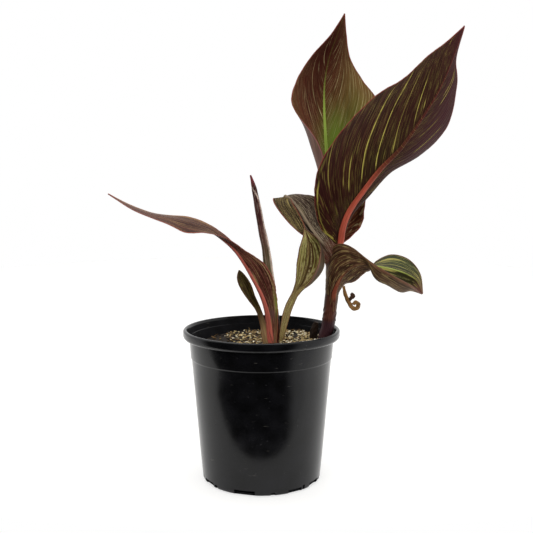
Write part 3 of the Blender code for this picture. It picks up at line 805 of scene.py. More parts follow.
# %% Leaf maker
def leaf(name, node, slot, stations, rib, finishes, sweep=0.0, pleat=(8.0, 0.3), row_gap=1.2,
         green=(), purple=(), pale=(), streaks=(), edge_lines=(), foot=(0.2, 0)):
    """One blade. rib is (width, depth, side), finishes are the front, back and margin materials, sweep
    is how much the veins slant, and pleat is the spacing and height of the folds between them. foot is
    how far up the foot's colour reaches, and whether it leaves the midrib bare."""
    length = walk(np.array([row[0] for row in stations], float), 300)
    rows = int(length / row_gap)
    columns = RIB_COLUMNS + BLADE_COLUMNS

    start_piece()
    bpy.ops.mesh.primitive_grid_add(x_subdivisions=2 * columns, y_subdivisions=rows, size=1)
    piece = bpy.context.object
    mesh = piece.data
    flat = read_points(mesh)
    column = np.round((flat[:, 0] + 0.5) * 2 * columns) - columns
    form = blade_form(column, flat[:, 1] + 0.5, stations, length, rib, sweep, pleat)
    mesh.vertices.foreach_set("co", (form.points * MM).ravel())

    full_depth = rib[1] + BLADE_THICKNESS
    group = piece.vertex_groups.new(name="thickness")
    for index, value in enumerate(form.depth / full_depth):
        group.add([index], float(value), "REPLACE")

    foot_reach, bare_rib = foot
    foot_place = form.share + bare_rib * foot_reach * (1 - form.across)
    values = {
        "rib": 1 - form.rib_share,
        "place": form.share,
        "edge": (1 - form.across) * form.width,
        "green": spots(form, green),
        "purple": spots(form, purple),
        "pale": spots(form, pale),
        "streak": streak_lines(form, sweep, length, streaks, edge_lines),
        "foot": 1 - ease(foot_place, 0.3 * foot_reach, foot_reach),
    }
    sideways = form.side * form.across * form.half
    pattern = [form.vein * length, sideways] if sweep else [sideways, form.share * length]
    write_marks(mesh, values, np.stack(pattern, axis=1))

    for finish in finishes:
        mesh.materials.append(finish)
    wall = piece.modifiers.new("thickness", "SOLIDIFY")
    wall.thickness = full_depth * MM
    wall.vertex_group = "thickness"
    wall.offset = rib[2]
    wall.material_offset = 1
    wall.material_offset_rim = 2
    apply_all(piece)
    face_outwards()
    bpy.ops.object.shade_smooth_by_angle(angle=math.radians(60))
    finish_piece(piece, name, slot, node)


print("leaf thickness", BLADE_THICKNESS, "mm, and", MARGIN_THICKNESS, "mm at the margin")

# %% [markdown]
# ## Lines along the veins
# The blade of a bronze-leaved canna is nearly black-brown, because red pigment lies over the green.
# Along some veins the pigment is missing, so yellow-green lines and dashes show. Stripes could be
# waves, but they would be too regular. Noise that is stretched along the veins, in the leaf's own
# coordinates, breaks up as the real lines do. A real vein is about 0.3 mm wide, so the hair lines are
# drawn coarser than real, at 0.8 mm, to show.

# %% Vein noise and colour layers
HAIR_LINE = (0.8, 45.0)
HAIR_SPECK = (1.2, 4.0)
STREAK_GAPS = (5.0, 3.5)
SOFT = {"interpolation_type": "SMOOTHSTEP"}
MULTIPLY = {"operation": "MULTIPLY"}
SCALE = {"operation": "SCALE"}


def along_veins(tree, uv, across, reach, detail=2.0):
    """Noise whose grains are across wide and reach long, in millimetres, lying along the veins."""
    scaled = add(tree, "ShaderNodeMapping", inputs={"Vector": uv, "Scale": (1 / across, 1 / reach, 1)})
    values = {"Vector": scaled, "Scale": 1.0, "Detail": detail}
    return add(tree, "ShaderNodeTexNoise", {"noise_dimensions": "2D"}, values)


def lay(tree, skin, layers):
    """Lays colours over a skin one after another, each where its mask is 1."""
    for mask, over in layers:
        skin = add(tree, "ShaderNodeMix", MIX_COLOURS, {FACTOR: mask, UNDER: skin, OVER: over}, out=MIXED)
    return skin


print("hair lines", HAIR_LINE[0], "mm wide and", HAIR_LINE[1], "mm long")

# %% [markdown]
# ## Layers of a leaf's colour
# A skin is built as a painter would do it: a broad uneven tone with its green and purple parts, then
# the hair lines, the dashes and the long streaks, and last the midrib and the margin. Each layer is
# a function of its own, so that it can be changed alone.

# %% Ground colour
TONE_RISE = (0.35, 0.68)
PALE_COVER, FOOT_COVER = 0.8, 0.95


def ground(tree, uv, at, shade, pitch, reach):
    """Broad uneven tone, then the green, purple and pale parts, and the foot."""
    cloud = along_veins(tree, uv, 3 * pitch, 1.5 * reach, 3.0)
    tone = add(tree, "ShaderNodeMapRange", SOFT, (cloud, *TONE_RISE))
    pale_part = add(tree, "ShaderNodeMath", MULTIPLY, (at["pale"], PALE_COVER))
    layers = [(tone, shade["mid"]), (at["green"], shade["green"]), (at["purple"], shade["purple"]),
              (pale_part, shade["line"])]
    if "foot" in shade:
        layers.append((add(tree, "ShaderNodeMath", MULTIPLY, (at["foot"], FOOT_COVER)), shade["foot"]))
    return lay(tree, shade["dark"], layers)


print("the foot's colour covers", FOOT_COVER, "of the skin, and the pale parts", PALE_COVER)

# %% [markdown]
# ## Hair lines, dashes and streaks
# Over each vein the blade is slightly grooved, and painted shade darkens the grooves against the ridges beside
# them.
# Lines could be drawn in one strength, but real ones break up and fade. So each kind of line is a mask
# of its own, which a second noise or the purple part weakens.

# %% Hair lines, dashes and streaks
# Ranges of the hair noise for the painted shade in the grooves and for the paler ridges
GROOVE_SHADE_RANGE, RIDGE = (0.30, 0.52), (0.52, 0.66)
DASH = (0.62, 0.70)


def veins(tree, uv, at, shade, skin, hair, pitch, reach, dash, line_strength, groove_shade_tone):
    """Painted shade in the grooves over the veins, paler broken lines between them, dashes and the long
    streaks. The fine ones are weaker where the leaf is purple."""
    # Painted shade: the skin is darkened in the grooves over the veins.
    painted_groove_shade = add(tree, "ShaderNodeMapRange", SOFT, (hair, *GROOVE_SHADE_RANGE, groove_shade_tone, 1.0))
    skin = add(tree, "ShaderNodeVectorMath", SCALE, {0: skin, "Scale": painted_groove_shade})
    ridge = add(tree, "ShaderNodeMapRange", SOFT, (hair, *RIDGE))
    speck = add(tree, "ShaderNodeMapRange", SOFT, (along_veins(tree, uv, *HAIR_SPECK), 0.35, 0.62))
    lines = add(tree, "ShaderNodeMath", MULTIPLY, (ridge, speck))
    bare = add(tree, "ShaderNodeMapRange", SOFT, (at["purple"], 0.2, 0.9, line_strength, 0.4 * line_strength))
    dash_noise = along_veins(tree, uv, pitch, reach, 1.0)
    dashes = add(tree, "ShaderNodeMapRange", SOFT, (dash_noise, *DASH, 0.0, dash))
    fewer = add(tree, "ShaderNodeMapRange", SOFT, (at["purple"], 0.2, 0.9, 1.0, 0.2))
    broken = add(tree, "ShaderNodeMapRange", SOFT, (along_veins(tree, uv, *STREAK_GAPS), 0.35, 0.55, 0.5, 1.0))
    masks = [(lines, bare, "line"), (dashes, fewer, "streak"), (at["streak"], broken, "streak")]
    layers = []
    for mask, weaker, key in masks:
        layers.append((add(tree, "ShaderNodeMath", MULTIPLY, (mask, weaker)), shade[key]))
    return lay(tree, skin, layers)


print("ridges from", RIDGE[0], "of the hair noise, and dashes from", DASH[0], "of theirs")

# %% [markdown]
# ## Midrib and margin
# A midrib is a bundle of cords under one skin, so it is finely striped lengthwise, and its colour
# fades as it thins out towards the tip. The margin is a thin coloured line. Both follow the marks on
# the mesh, because they have to stay in place however the leaf bends.

# %% Midrib and margin
CORDS_ACROSS, CORDS_ALONG = 5.0, 8.0


def rib_and_margin(tree, at, shade, skin, rib_end, rib_wide, rib_strength):
    """The midrib, which is corded lengthwise and fades towards the tip, and the coloured margin."""
    fade_place = (at["place"], rib_end - 0.15, rib_end + 0.1, rib_strength, 0.1)
    fade = add(tree, "ShaderNodeMapRange", SOFT, fade_place)
    if "foot" in shade:
        bare_foot = add(tree, "ShaderNodeMapRange", SOFT, (at["foot"], 0.0, 0.7, 1.0, 0.15))
        fade = add(tree, "ShaderNodeMath", MULTIPLY, (fade, bare_foot))
    on_rib = add(tree, "ShaderNodeMapRange", SOFT, (at["rib"], 1 - rib_wide, 1.15 - rib_wide))
    rib_mask = add(tree, "ShaderNodeMath", MULTIPLY, (on_rib, fade))
    across = add(tree, "ShaderNodeMath", MULTIPLY, (at["rib"], CORDS_ACROSS))
    along = add(tree, "ShaderNodeMath", MULTIPLY, (at["place"], CORDS_ALONG))
    lengthwise = add(tree, "ShaderNodeCombineXYZ", inputs=(across, along))
    cords = add(tree, "ShaderNodeTexNoise", {"noise_dimensions": "2D"}, {"Vector": lengthwise, "Scale": 1.0})
    uneven = add(tree, "ShaderNodeMapRange", SOFT, (cords, 0.35, 0.62, 0.75, 1.05))
    corded = add(tree, "ShaderNodeVectorMath", SCALE, {0: shade["rib"][:3], "Scale": uneven})
    edge_mask = add(tree, "ShaderNodeMapRange", SOFT, (at["edge"], 1.3, 0.2, 0.0, 0.8))
    return lay(tree, skin, [(rib_mask, corded), (edge_mask, shade["margin"])])


print("cords in half a midrib:", CORDS_ACROSS)

# %% [markdown]
# ## Leaf skins
# Each leaf has two skins, since its upper side is darker and greener than its duller back. They share
# one recipe, so a function takes the colours and the few sizes that differ. A canna leaf has a waxy
# bloom, which gives it a soft and rather weak sheen, so the specular level is low.

# %% Leaf skin
SHADES = ("dark", "mid", "green", "purple", "streak", "line", "rib", "margin")


def leaf_skin(name, *hexes, foot=None, pitch=2.0, reach=26.0, dash=0.5, rib_end=0.45, rib_wide=0.85,
              rib_strength=1.0, line_strength=0.5, groove_shade_tone=0.7, gloss=0.5, shine=0.15):
    """A blade's finish, from the colours in SHADES and the foot's. pitch and reach are the width and
    length of the fine dashes in millimetres, dash is how bright they are, rib_end is where the
    midrib's colour fades, and rib_wide is the share of the midrib that takes it."""
    made, tree, shader = new_material(name)
    shade = {key: colour(value) for key, value in zip(SHADES, hexes)}
    if foot:
        shade["foot"] = colour(foot)
    uv = add(tree, "ShaderNodeUVMap", {"uv_map": "veins"})
    at = {key: add(tree, "ShaderNodeAttribute", {"attribute_name": key}, out="Fac") for key in MARKS}
    hair = along_veins(tree, uv, *HAIR_LINE)
    skin = ground(tree, uv, at, shade, pitch, reach)
    skin = veins(tree, uv, at, shade, skin, hair, pitch, reach, dash, line_strength, groove_shade_tone)
    skin = rib_and_margin(tree, at, shade, skin, rib_end, rib_wide, rib_strength)
    tree.links.new(skin, shader.inputs["Base Color"])
    shader.inputs["Roughness"].default_value = gloss
    shader.inputs["Specular IOR Level"].default_value = shine
    bump = add(tree, "ShaderNodeBump", inputs={"Height": hair, "Strength": 0.5, "Distance": 0.25 * MM})
    tree.links.new(bump, shader.inputs["Normal"])
    return made


print("colours of a leaf skin:", *SHADES)

# %% [markdown]
# ## Plain skins
# A thin margin or a dried scrap has hardly any pattern, but even it isn't one flat colour. A cloud of
# noise, about a centimetre across, varies its tone.

# %% Plain skin
SKIN_CLOUD = 11.1
DARKER = 0.55


def plain_skin(name, hex_value, roughness):
    """A thin edge or a scrap whose tone varies a little over its length."""
    made, tree, shader = new_material(name)
    place = add(tree, "ShaderNodeTexCoord", out="Object")
    cloud_values = {"Vector": place, "Scale": per_grain(SKIN_CLOUD), "Detail": 3.0}
    cloud = add(tree, "ShaderNodeTexNoise", inputs=cloud_values)
    base = colour(hex_value)
    darker = tuple(part * DARKER for part in base[:3]) + (1.0,)
    ramp = add(tree, "ShaderNodeValToRGB", inputs=(cloud,), stops=[(0.35, darker), (0.65, base)])
    tree.links.new(ramp, shader.inputs["Base Color"])
    shader.inputs["Roughness"].default_value = roughness
    return made


# Leaf margins: a thin translucent edge, where the red pigment gathers into a fine warm line.
red_margin = plain_skin("red_leaf_margin", "#9A4A42", 0.45)
# On the older leaves it has dried to a duller brown.
brown_margin = plain_skin("brown_leaf_margin", "#6A4636", 0.5)
print("margins:", red_margin.name, brown_margin.name)

# %% [markdown]
# ## The upper right leaf
# This is the largest leaf, and it shows its underside, with the thick coral midrib. It is tipped to
# the right and slightly twisted, so its stations turn as they climb. The veins slant strongly, and
# the long streaks that show on its left half are placed one by one.

# %% Upper right leaf
LEAF_UPPER_RIGHT = [
    ((81.5, -3, 250), (77, -4, 249), (84, 0, 250), (1, 1)),
    ((83, -9, 267), (62, -6, 266), (88, -3, 267), (3, 2)),
    ((89, -17, 285), (55, -10, 293), (95, -7, 285), (5, 3)),
    ((102, -24, 305), (58, -14, 327), (110, -8, 302), (6, 4)),
    ((119, -31, 328), (80, -16, 364), (131, -6, 327), (6, 6)),
    ((138, -36, 348), (114, -18, 400), (161, -8, 341), (5, 5)),
    ((156, -38, 374), (142, -24, 417), (188, -14, 371), (4, 2)),
    ((174, -38, 404), (164, -30, 438), (195, -24, 411), (3, 1)),
    ((187, -35, 434), (181, -33, 451), (192, -30, 436), (1, 0)),
    ((199, -31, 467), (198.4, -31, 466.6), (199.6, -31, 466.2), (0, 0)),
]
# The underside: near-black brown with a dull waxy sheen, fine olive lines and a smooth coral rib. Its right
# half is partly the leaf's own purple and partly a painted sheen.
upper_right_back = leaf_skin(
    "bronze_leaf_underside",
    "#2E160E", "#3E2218", "#33371C", "#451D21", "#EADB6A", "#8A5A40", "#C85E48", "#A0463E",
    pitch=0.8, reach=9, dash=0.16, line_strength=0.22, groove_shade_tone=0.8,
)
# The upper face, which is turned away: a warmer brown, with more green beside its veins.
upper_right_face = leaf_skin(
    "bronze_leaf_upper_face",
    "#3A2016", "#54301F", "#4A5424", "#5E3232", "#B0A34C", "#7A5A38", "#7F8D3C", "#A0463E",
    pitch=1.0, reach=14, dash=0.35, line_strength=0.25, groove_shade_tone=0.85, rib_end=0.8, rib_wide=0.4,
)
leaf(
    "leaf_blade_upper_right", "leaf_upper_right", "bronze_leaf", LEAF_UPPER_RIGHT, (6.3, 3.0, 1),
    (upper_right_back, upper_right_face, red_margin), sweep=0.32, row_gap=0.62,
    green=[(-0.12, 0.48, 0.2, 0.12, 0.35)],
    # The first purple patch, on the right half, is partly the underside's own purple and partly painted sheen.
    purple=[(0.7, 0.65, 0.6, 0.3, 1.0), (0.0, 1.0, 2.0, 0.12, 1.0), (-0.8, 0.2, 0.4, 0.2, 0.4)],
    edge_lines=[(-1, 3.8, 0.02, 0.4)],
    streaks=[
        (-1, 0.03, 0.42, 1.0, 0.8), (-1, 0.10, 0.6, 1.0, 0.5), (-1, 0.215, 0.35, 0.61, 0.4),
        (-1, 0.255, 0.19, 0.54, 0.8), (-1, 0.342, 0.1, 0.93, 0.8), (-1, 0.425, 0.03, 0.97, 1.0),
        (-1, 0.515, 0.02, 0.8, 0.8), (-1, 0.63, 0.07, 0.51, 0.8), (-1, 0.68, 0.08, 0.2, 0.8),
        (-1, 0.78, 0.7, 0.95, 0.6), (1, 0.45, 0.39, 0.75, 0.6), (1, 0.56, 0.2, 0.5, 0.3),
        (1, 0.66, 0.3, 0.76, 0.6), (1, 0.69, 0.3, 0.76, 0.6), (1, 0.25, 0.3, 0.8, 0.3),
    ],
)

# %% [markdown]
# ## The upper left leaf
# This one shows its inside. It is the youngest open leaf and still half rolled, so both halves bow
# forwards round the bright green midrib, and its left margin turns back.

# %% Upper left leaf
LEAF_UPPER_LEFT = [
    ((79, 5, 252), (74, 4, 249), (85, 4, 249), (0, 0)),
    ((77, 10, 269), (73, 4, 267), (104, 4, 268), (-1, -3)),
    ((74, 16, 290), (69, 2, 290), (108, 5, 289), (-5, -4)),
    ((71, 26, 321), (66, 0, 329), (114, 12, 326), (-8, -5)),
    ((69, 33, 358), (56, 2, 359), (121, 17, 368), (-12, -5)),
    ((67, 35, 392), (33, 14, 393), (121, 22, 399), (-8, -5)),
    ((67, 31, 419), (36, 24, 418), (107, 24, 419), (-3, -3)),
    ((71, 25, 443), (51, 23, 443), (93, 22, 442), (-1, -1)),
    ((78, 16, 464), (71, 16, 465), (88, 15, 467), (0, 0)),
    ((85, 6, 485), (84.4, 6, 484.6), (85.6, 6, 484.6), (0, 0)),
]
# The inside: red-brown and silky, with fine cream lines and green round the midrib.
upper_left_inside = leaf_skin(
    "bronze_leaf_upper_side",
    "#4E2619", "#703C2A", "#6E8A2C", "#411611", "#EEDDA0", "#B48C58", "#A6C254", "#B0584C",
    pitch=1.0, reach=12, dash=0.26, rib_end=0.66, rib_wide=0.5, line_strength=0.3, groove_shade_tone=0.65,
)
# The outside: a dull purplish brown, greyed by its waxy bloom.
upper_left_outside = leaf_skin(
    "bronze_leaf_back",
    "#54342E", "#70493F", "#4E4A30", "#5C3A38", "#8A7840", "#B08A7A", "#8A5045", "#B0706A",
    pitch=1.2, reach=12, dash=0.3, line_strength=0.3,
)
leaf(
    "leaf_blade_upper_left", "leaf_upper_left", "bronze_leaf", LEAF_UPPER_LEFT, (5.5, 3.0, -1),
    (upper_left_inside, upper_left_outside, red_margin), sweep=0.5, row_gap=0.62,
    green=[(0.22, 0.42, 0.25, 0.12, 1.0), (0.7, 0.52, 0.25, 0.14, 0.7), (0.0, 0.3, 0.25, 0.15, 0.6)],
    purple=[(-0.3, 0.85, 1.2, 0.16, 1.0), (-0.3, 0.62, 0.3, 0.14, 0.5)],
    pale=[(1.0, 0.6, 0.42, 0.16, 1.0), (-1.0, 0.5, 0.25, 0.12, 0.25), (-0.8, 0.28, 0.45, 0.14, 0.5)],
    edge_lines=[(-1, 1.8, 0.1, 0.4)],
    streaks=[
        (-1, 0.39, 0.2, 0.42, 0.7), (-1, 0.63, 0.24, 0.4, 0.8), (-1, 0.5, 0.15, 0.7, 0.8),
        (-1, 0.52, 0.0, 0.12, 1.0), (-1, 0.72, 0.1, 0.6, 1.0), (-1, 0.78, 0.3, 0.7, 0.8),
        (1, 0.78, 0.1, 0.5, 0.7), (1, 0.72, 0.2, 0.6, 0.6), (1, 0.17, 0.6, 0.95, 0.8),
        (1, 0.25, 0.3, 0.75, 0.8), (1, 0.31, 0.55, 0.95, 0.9), (1, 0.36, 0.5, 0.95, 0.6),
        (1, 0.42, 0.6, 0.95, 0.6), (1, 0.05, 0.55, 1.1, 1.0), (1, 0.08, 0.6, 1.1, 1.2),
        (1, 0.11, 0.5, 1.1, 1.3), (1, 0.135, 0.7, 1.1, 1.2), (1, 0.2, 0.65, 1.1, 1.3),
        (1, 0.225, 0.8, 1.1, 1.2), (1, 0.28, 0.7, 1.1, 1.0), (1, 0.47, 0.25, 0.6, 0.9),
        (1, 0.545, 0.2, 0.7, 1.0), (1, 0.66, 0.2, 0.7, 0.9),
    ],
)

# %% [markdown]
# ## The left arched leaf
# This leaf leans out to the left, arches over and hangs, so its stations first rise and then fall. It
# is older, and its underside is greyish with dark grooves. Its foot ends close to the stem.

# %% Left arched leaf
LEAF_LEFT_ARCHED = [
    ((73.5, -3, 238), (67.5, -1, 227), (80, -4, 249), (1, 1)),
    ((62, -8, 253), (59, -8, 243), (73, -3, 262), (0, 1)),
    ((51, -10, 266), (43, -14, 261), (65, 3, 276), (0, 0)),
    ((40, -14, 283), (28, -20, 274), (59, 8, 296), (0, 0)),
    ((31, -18, 295), (18, -24, 288), (45, 2, 301), (0, 0)),
    ((24, -24, 300), (12, -30, 298), (31, -12, 301), (0, 0)),
    ((22, -32, 293), (14, -37, 292), (32, -28, 294), (0, 0)),
    ((31, -36, 278), (25, -39, 277), (40, -33, 279), (0, 0)),
    ((38, -37, 268), (35, -39, 267), (44, -35, 269), (0, 0)),
    ((43, -37, 261), (42.4, -37, 261), (43.6, -37, 261), (0, 0)),
]
# The underside: grey-brown and dry-looking, ribbed by grooves darkened with strong painted shade.
arched_under = leaf_skin(
    "bronze_leaf_arched_underside",
    "#33251D", "#54443A", "#5A5034", "#4A2A2E", "#B8AA80", "#B8A58A", "#9A8870", "#8A4036",
    pitch=1.0, reach=30, dash=0.3, rib_end=0.75, rib_wide=0.4, line_strength=1.0, groove_shade_tone=0.25,
    foot="#6A3A30",
)
# The upper face: darker brown, finely striped with khaki.
arched_face = leaf_skin(
    "bronze_leaf_arched_face",
    "#251811", "#443122", "#5A5034", "#4A2A2E", "#C4B068", "#9C8854", "#5D4B35", "#8A4036",
    pitch=1.0, reach=25, dash=0.6, rib_end=0.6, rib_wide=0.5, line_strength=0.9, groove_shade_tone=0.4,
)
leaf("leaf_blade_left_arched", "leaf_left_arched", "bronze_leaf", LEAF_LEFT_ARCHED, (5.0, 2.4, 1),
     (arched_under, arched_face, red_margin), pleat=(4.0, 0.15), row_gap=0.8, foot=(0.14, 0))

# %% [markdown]
# ## The lower right leaf
# The lowest leaf of the shoot wraps the stem with its sheath, narrows to a neck and ends in a small
# folded blade. Its stations are close together where it turns from upright to level.

# %% Lower right leaf
LEAF_LOWER_RIGHT = [
    ((75.0, -3, 176), (71, 4, 178), (78, 1, 176), (1, 0)),
    ((75.2, -6.2, 189), (69, 5, 190), (80, 1, 189), (3, 1)),
    ((76, -8, 200), (68.5, 5, 202), (82, 1, 200), (4, 1)),
    ((80, -9, 211), (68.5, 5, 219), (88, 0, 208), (5, 1)),
    ((85, -10, 219), (70, 2, 239), (97, -3, 210), (5, 0)),
    ((92, -11, 225), (79, -11, 251), (104, -7, 217), (3, 0)),
    ((100, -12, 229), (93, -15, 248), (108, -8, 221), (1, 0)),
    ((109, -12, 230), (106, -15, 238), (113, -8, 223), (1, 1)),
    ((122, -12, 228), (118, -27, 229), (120, 0, 232), (13, 1)),
    ((136, -12, 225), (132, -33, 222), (137, 10, 238), (15, 1)),
    ((151, -13, 220), (148, -31, 213), (155, 5, 233), (17, 1)),
    ((161, -14, 213), (158, -25, 206), (166, -5, 219), (11, 0)),
    ((166.4, -17, 199.6), (165.8, -17.2, 199.4), (167, -16.8, 200), (0, 0)),
]
# The back: mid-brown and matt, with tan veins, and dark purple where it clasps the stem.
lower_right_back = leaf_skin(
    "bronze_leaf_lower_back",
    "#42291C", "#603F2C", "#80694C", "#8A5450", "#BCA468", "#A88C64", "#9A4834", "#9A6A50",
    foot="#4A2A24", pitch=0.9, reach=14, dash=0.6, rib_end=0.3, rib_wide=0.35, rib_strength=0.75,
    line_strength=0.55, groove_shade_tone=0.5,
)
# The upper face: dark olive with a light green midrib and cream dashes.
lower_right_face = leaf_skin(
    "bronze_leaf_lower_face",
    "#342C1C", "#463C26", "#38421F", "#7A4A48", "#C8BC64", "#9A945C", "#B4C060", "#8A5040",
    pitch=1.1, reach=30, dash=0.6, rib_end=0.9, rib_wide=0.3, line_strength=0.5, groove_shade_tone=0.6,
)
leaf("leaf_blade_lower_right", "leaf_lower_right", "bronze_leaf", LEAF_LOWER_RIGHT, (6.0, 1.8, 1),
     (lower_right_back, lower_right_face, brown_margin), pleat=(4.0, 0.15), row_gap=0.7, foot=(0.16, 0),
     green=[(0.6, 0.79, 0.5, 0.14, 0.9), (-0.6, 0.8, 0.5, 0.16, 0.6)], purple=[(-0.3, 0.98, 1.0, 0.05, 0.9)])

# %% [markdown]
# ## The long left leaf
# The young left shoot has one long narrow leaf, which leans far out to the left, and its outer part
# droops and then lifts at the tip. Its veins run nearly lengthwise, so it has no sweep, and a pale
# line follows each margin.

# %% Long left leaf
LEAF_LONG_LEFT = [
    ((10, -14.8, 148), (7.4, -11.5, 148), (15.8, -14, 148), (1, 1)),
    ((7, -15.5, 175), (8, -7, 173), (17, -14.5, 175), (2, 2)),
    ((1, -17, 196), (4, -3, 194), (16, -16, 196), (1, 1)),
    ((-9, -17, 216), (-4, 0, 216), (13, -18, 213), (0, 1)),
    ((-17, -16, 230), (-14, 2, 233), (3, -19, 231), (0, 1)),
    ((-26, -16, 243), (-24, -2, 245), (-15, -19, 244), (0, 0)),
    ((-37, -16, 254), (-36, -7, 259), (-35, -22, 258), (0, 0)),
    ((-54, -18, 266), (-52, -8, 270), (-56, -27, 263), (0, 0)),
    ((-75, -20, 274), (-74, -8, 278), (-75, -32, 264), (0, 0)),
    ((-95, -22, 279), (-96, -10, 281), (-92, -32, 272), (0, 0)),
    ((-113, -24, 283), (-114, -14, 284), (-111, -32, 279), (0, 0)),
    ((-132, -26, 290), (-134, -20, 292), (-131, -31, 288), (0, 0)),
    ((-154, -28, 303), (-153.6, -27.4, 303.2), (-153.6, -28.6, 302.8), (0, 0)),
]
# The back: red-brown and satiny, striped tan, with a coral midrib that rises from a tan foot.
long_left_back = leaf_skin(
    "bronze_leaf_long_back",
    "#46211A", "#66362C", "#86A83C", "#6A4A46", "#B89A68", "#9A6A58", "#C86A5A", "#B0604A",
    foot="#8A6448", pitch=1.0, reach=40, dash=0.5, rib_end=0.5, rib_wide=0.75, line_strength=0.65,
    groove_shade_tone=0.45,
)
# The upper face: much the same brown, but duller, with a brown midrib.
long_left_face = leaf_skin(
    "bronze_leaf_long_face",
    "#3E2018", "#5A342A", "#4F4C30", "#6A4A46", "#A88A58", "#8A6A4A", "#6A4A30", "#B0604A",
    pitch=1.0, reach=40, dash=0.4, rib_end=0.5, groove_shade_tone=0.6,
)
leaf("leaf_blade_long_left", "leaf_long_left", "bronze_leaf", LEAF_LONG_LEFT, (6.0, 1.8, 1),
     (long_left_back, long_left_face, red_margin), pleat=(4.0, 0.12), row_gap=0.9, foot=(0.13, 1),
     edge_lines=[(-1, 2.0, 0.55, 1.0), (1, 3.0, 0.08, 0.4), (-1, 3.0, 0.05, 0.35)],
     green=[(1.0, 0.13, 0.2, 0.05, 1.0)], purple=[(0.0, 0.85, 2.0, 0.15, 0.4), (0.45, 0.1, 0.25, 0.02, 0.9)])

# %% [markdown]
# ## The small left leaf
# The shoot's first leaf is a small spoon that clasps the foot of the long one. Both of its sides look
# alike, so one skin serves both.

# %% Small left leaf
LEAF_SMALL_LEFT = [
    ((5.6, -12.0, 144), (1.4, -5.0, 145), (12.4, -19.4, 144), (-1, -2)),
    ((3.4, -11.5, 154), (-0.4, -5.0, 154), (9.0, -18.6, 156), (-1, -2)),
    ((0.4, -9.4, 168), (-2.2, -5.4, 167), (4.2, -15.0, 170), (-1, -1)),
    ((-4, -10, 183), (-6, -10, 181), (-1, -12, 184), (0, 0)),
    ((-11, -12, 195), (-14, -14, 193), (-7, -15, 198), (0, 0)),
    ((-16, -14, 207), (-22, -17, 206), (-11, -17, 210), (0, 0)),
    ((-21, -14, 217), (-25, -17, 216), (-17, -17, 219), (0, 0)),
    ((-23, -14, 224), (-23.6, -14, 223.7), (-22.4, -14, 224), (0, 0)),
]
# Dark olive brown, dull, and bleached to tan at the foot where the sheath is dry.
small_left_skin = leaf_skin(
    "olive_leaf_dark",
    "#2E2212", "#4A3A1C", "#5A5A24", "#4A2A1C", "#8A8440", "#6E5A34", "#5A4A28", "#6A4636",
    foot="#B8946A", pitch=1.0, reach=12, dash=0.4, rib_end=0.7, rib_wide=0.3, rib_strength=0.5,
)
leaf("leaf_blade_small_left", "leaf_small_left", "olive_leaf", LEAF_SMALL_LEFT, (4.0, 1.4, -1),
     (small_left_skin, small_left_skin, brown_margin), pleat=(3.0, 0.1), row_gap=0.6, foot=(0.5, 0))

# %% [markdown]
# ## The upright leaf on the right
# This leaf stands between the shoots. It is the lightest of all, tan and green with cream stripes,
# and its right half is cupped, which its large bow gives.

# %% Right upright leaf
LEAF_RIGHT_UPRIGHT = [
    ((21, -11, 148), (18.4, -14.6, 149), (23.5, -7, 149), (-1, -1)),
    ((24, -15, 167), (20, -19, 167), (27, -14, 166), (0, 0)),
    ((28, -20, 185), (24, -23, 186), (32, -19, 184), (0, 0)),
    ((35, -24, 202), (32, -27, 204), (38, -25, 199), (0, 0)),
    ((42, -28, 215), (35, -31, 217), (48, -37, 215), (0, -8)),
    ((47, -31, 232), (36, -36, 232), (56, -46, 232), (-1, -13)),
    ((48, -35, 249), (38, -39, 248), (59, -44, 249), (-1, -8)),
    ((46, -39, 259), (41, -40, 259), (55, -42, 260), (0, -2)),
    ((43, -40, 269), (42.4, -40, 268), (43.6, -40, 268), (0, 0)),
]
# The inside: tan over green, thickly striped with cream, so it catches the eye first.
upright_inside = leaf_skin(
    "olive_leaf_upper_side",
    "#62452C", "#A07E50", "#889636", "#4A2A24", "#E8E48C", "#D8CA90", "#8A7A48", "#8A5A44",
    foot="#A68C5C", pitch=1.0, reach=24, dash=0.75, rib_end=0.7, rib_wide=0.3, rib_strength=0.4,
    line_strength=1.0, groove_shade_tone=0.4,
)
# The outside: dark brown and dull, with a few ochre lines.
upright_outside = leaf_skin(
    "olive_leaf_back",
    "#2C1D15", "#3C2A1E", "#4A4420", "#3A2420", "#6A5A38", "#5A4630", "#7A6438", "#8A5A44",
    foot="#A88E64", pitch=1.0, reach=24, dash=0.4, rib_end=0.7, rib_wide=0.5, rib_strength=0.4,
)
leaf("leaf_blade_right_upright", "leaf_right_upright", "olive_leaf", LEAF_RIGHT_UPRIGHT, (4.5, 1.6, -1),
     (upright_inside, upright_outside, brown_margin), pleat=(3.0, 0.1), row_gap=0.7, foot=(0.7, 0),
     green=[(-0.5, 0.72, 0.3, 0.1, 0.3), (0.4, 0.62, 0.25, 0.1, 0.25)],
     streaks=[(-1, 0.25, 0.45, 0.95, 0.7), (-1, 0.55, 0.5, 0.9, 0.6), (-1, 0.8, 0.45, 0.8, 0.5),
              (1, 0.2, 0.45, 0.95, 0.7), (1, 0.45, 0.4, 0.9, 0.7), (1, 0.7, 0.5, 0.85, 0.6)])

# %% [markdown]
# ## Shoots
# A canna's stem is a stack of leaf sheaths, so it is round, finely ribbed lengthwise and scarred where
# a sheath ended. A cylinder that is bent along a curve could make it, but then its ribs and scars
# would need modelling by hand. Here a grid is rolled into a tube whose radius is a formula, and its
# first and last rings close to a point.

# %% Shoot maker
SHOOT_SIDES = 64
# So far from any margin, in millimetres, that a margin's colour doesn't show
NO_EDGE = 20


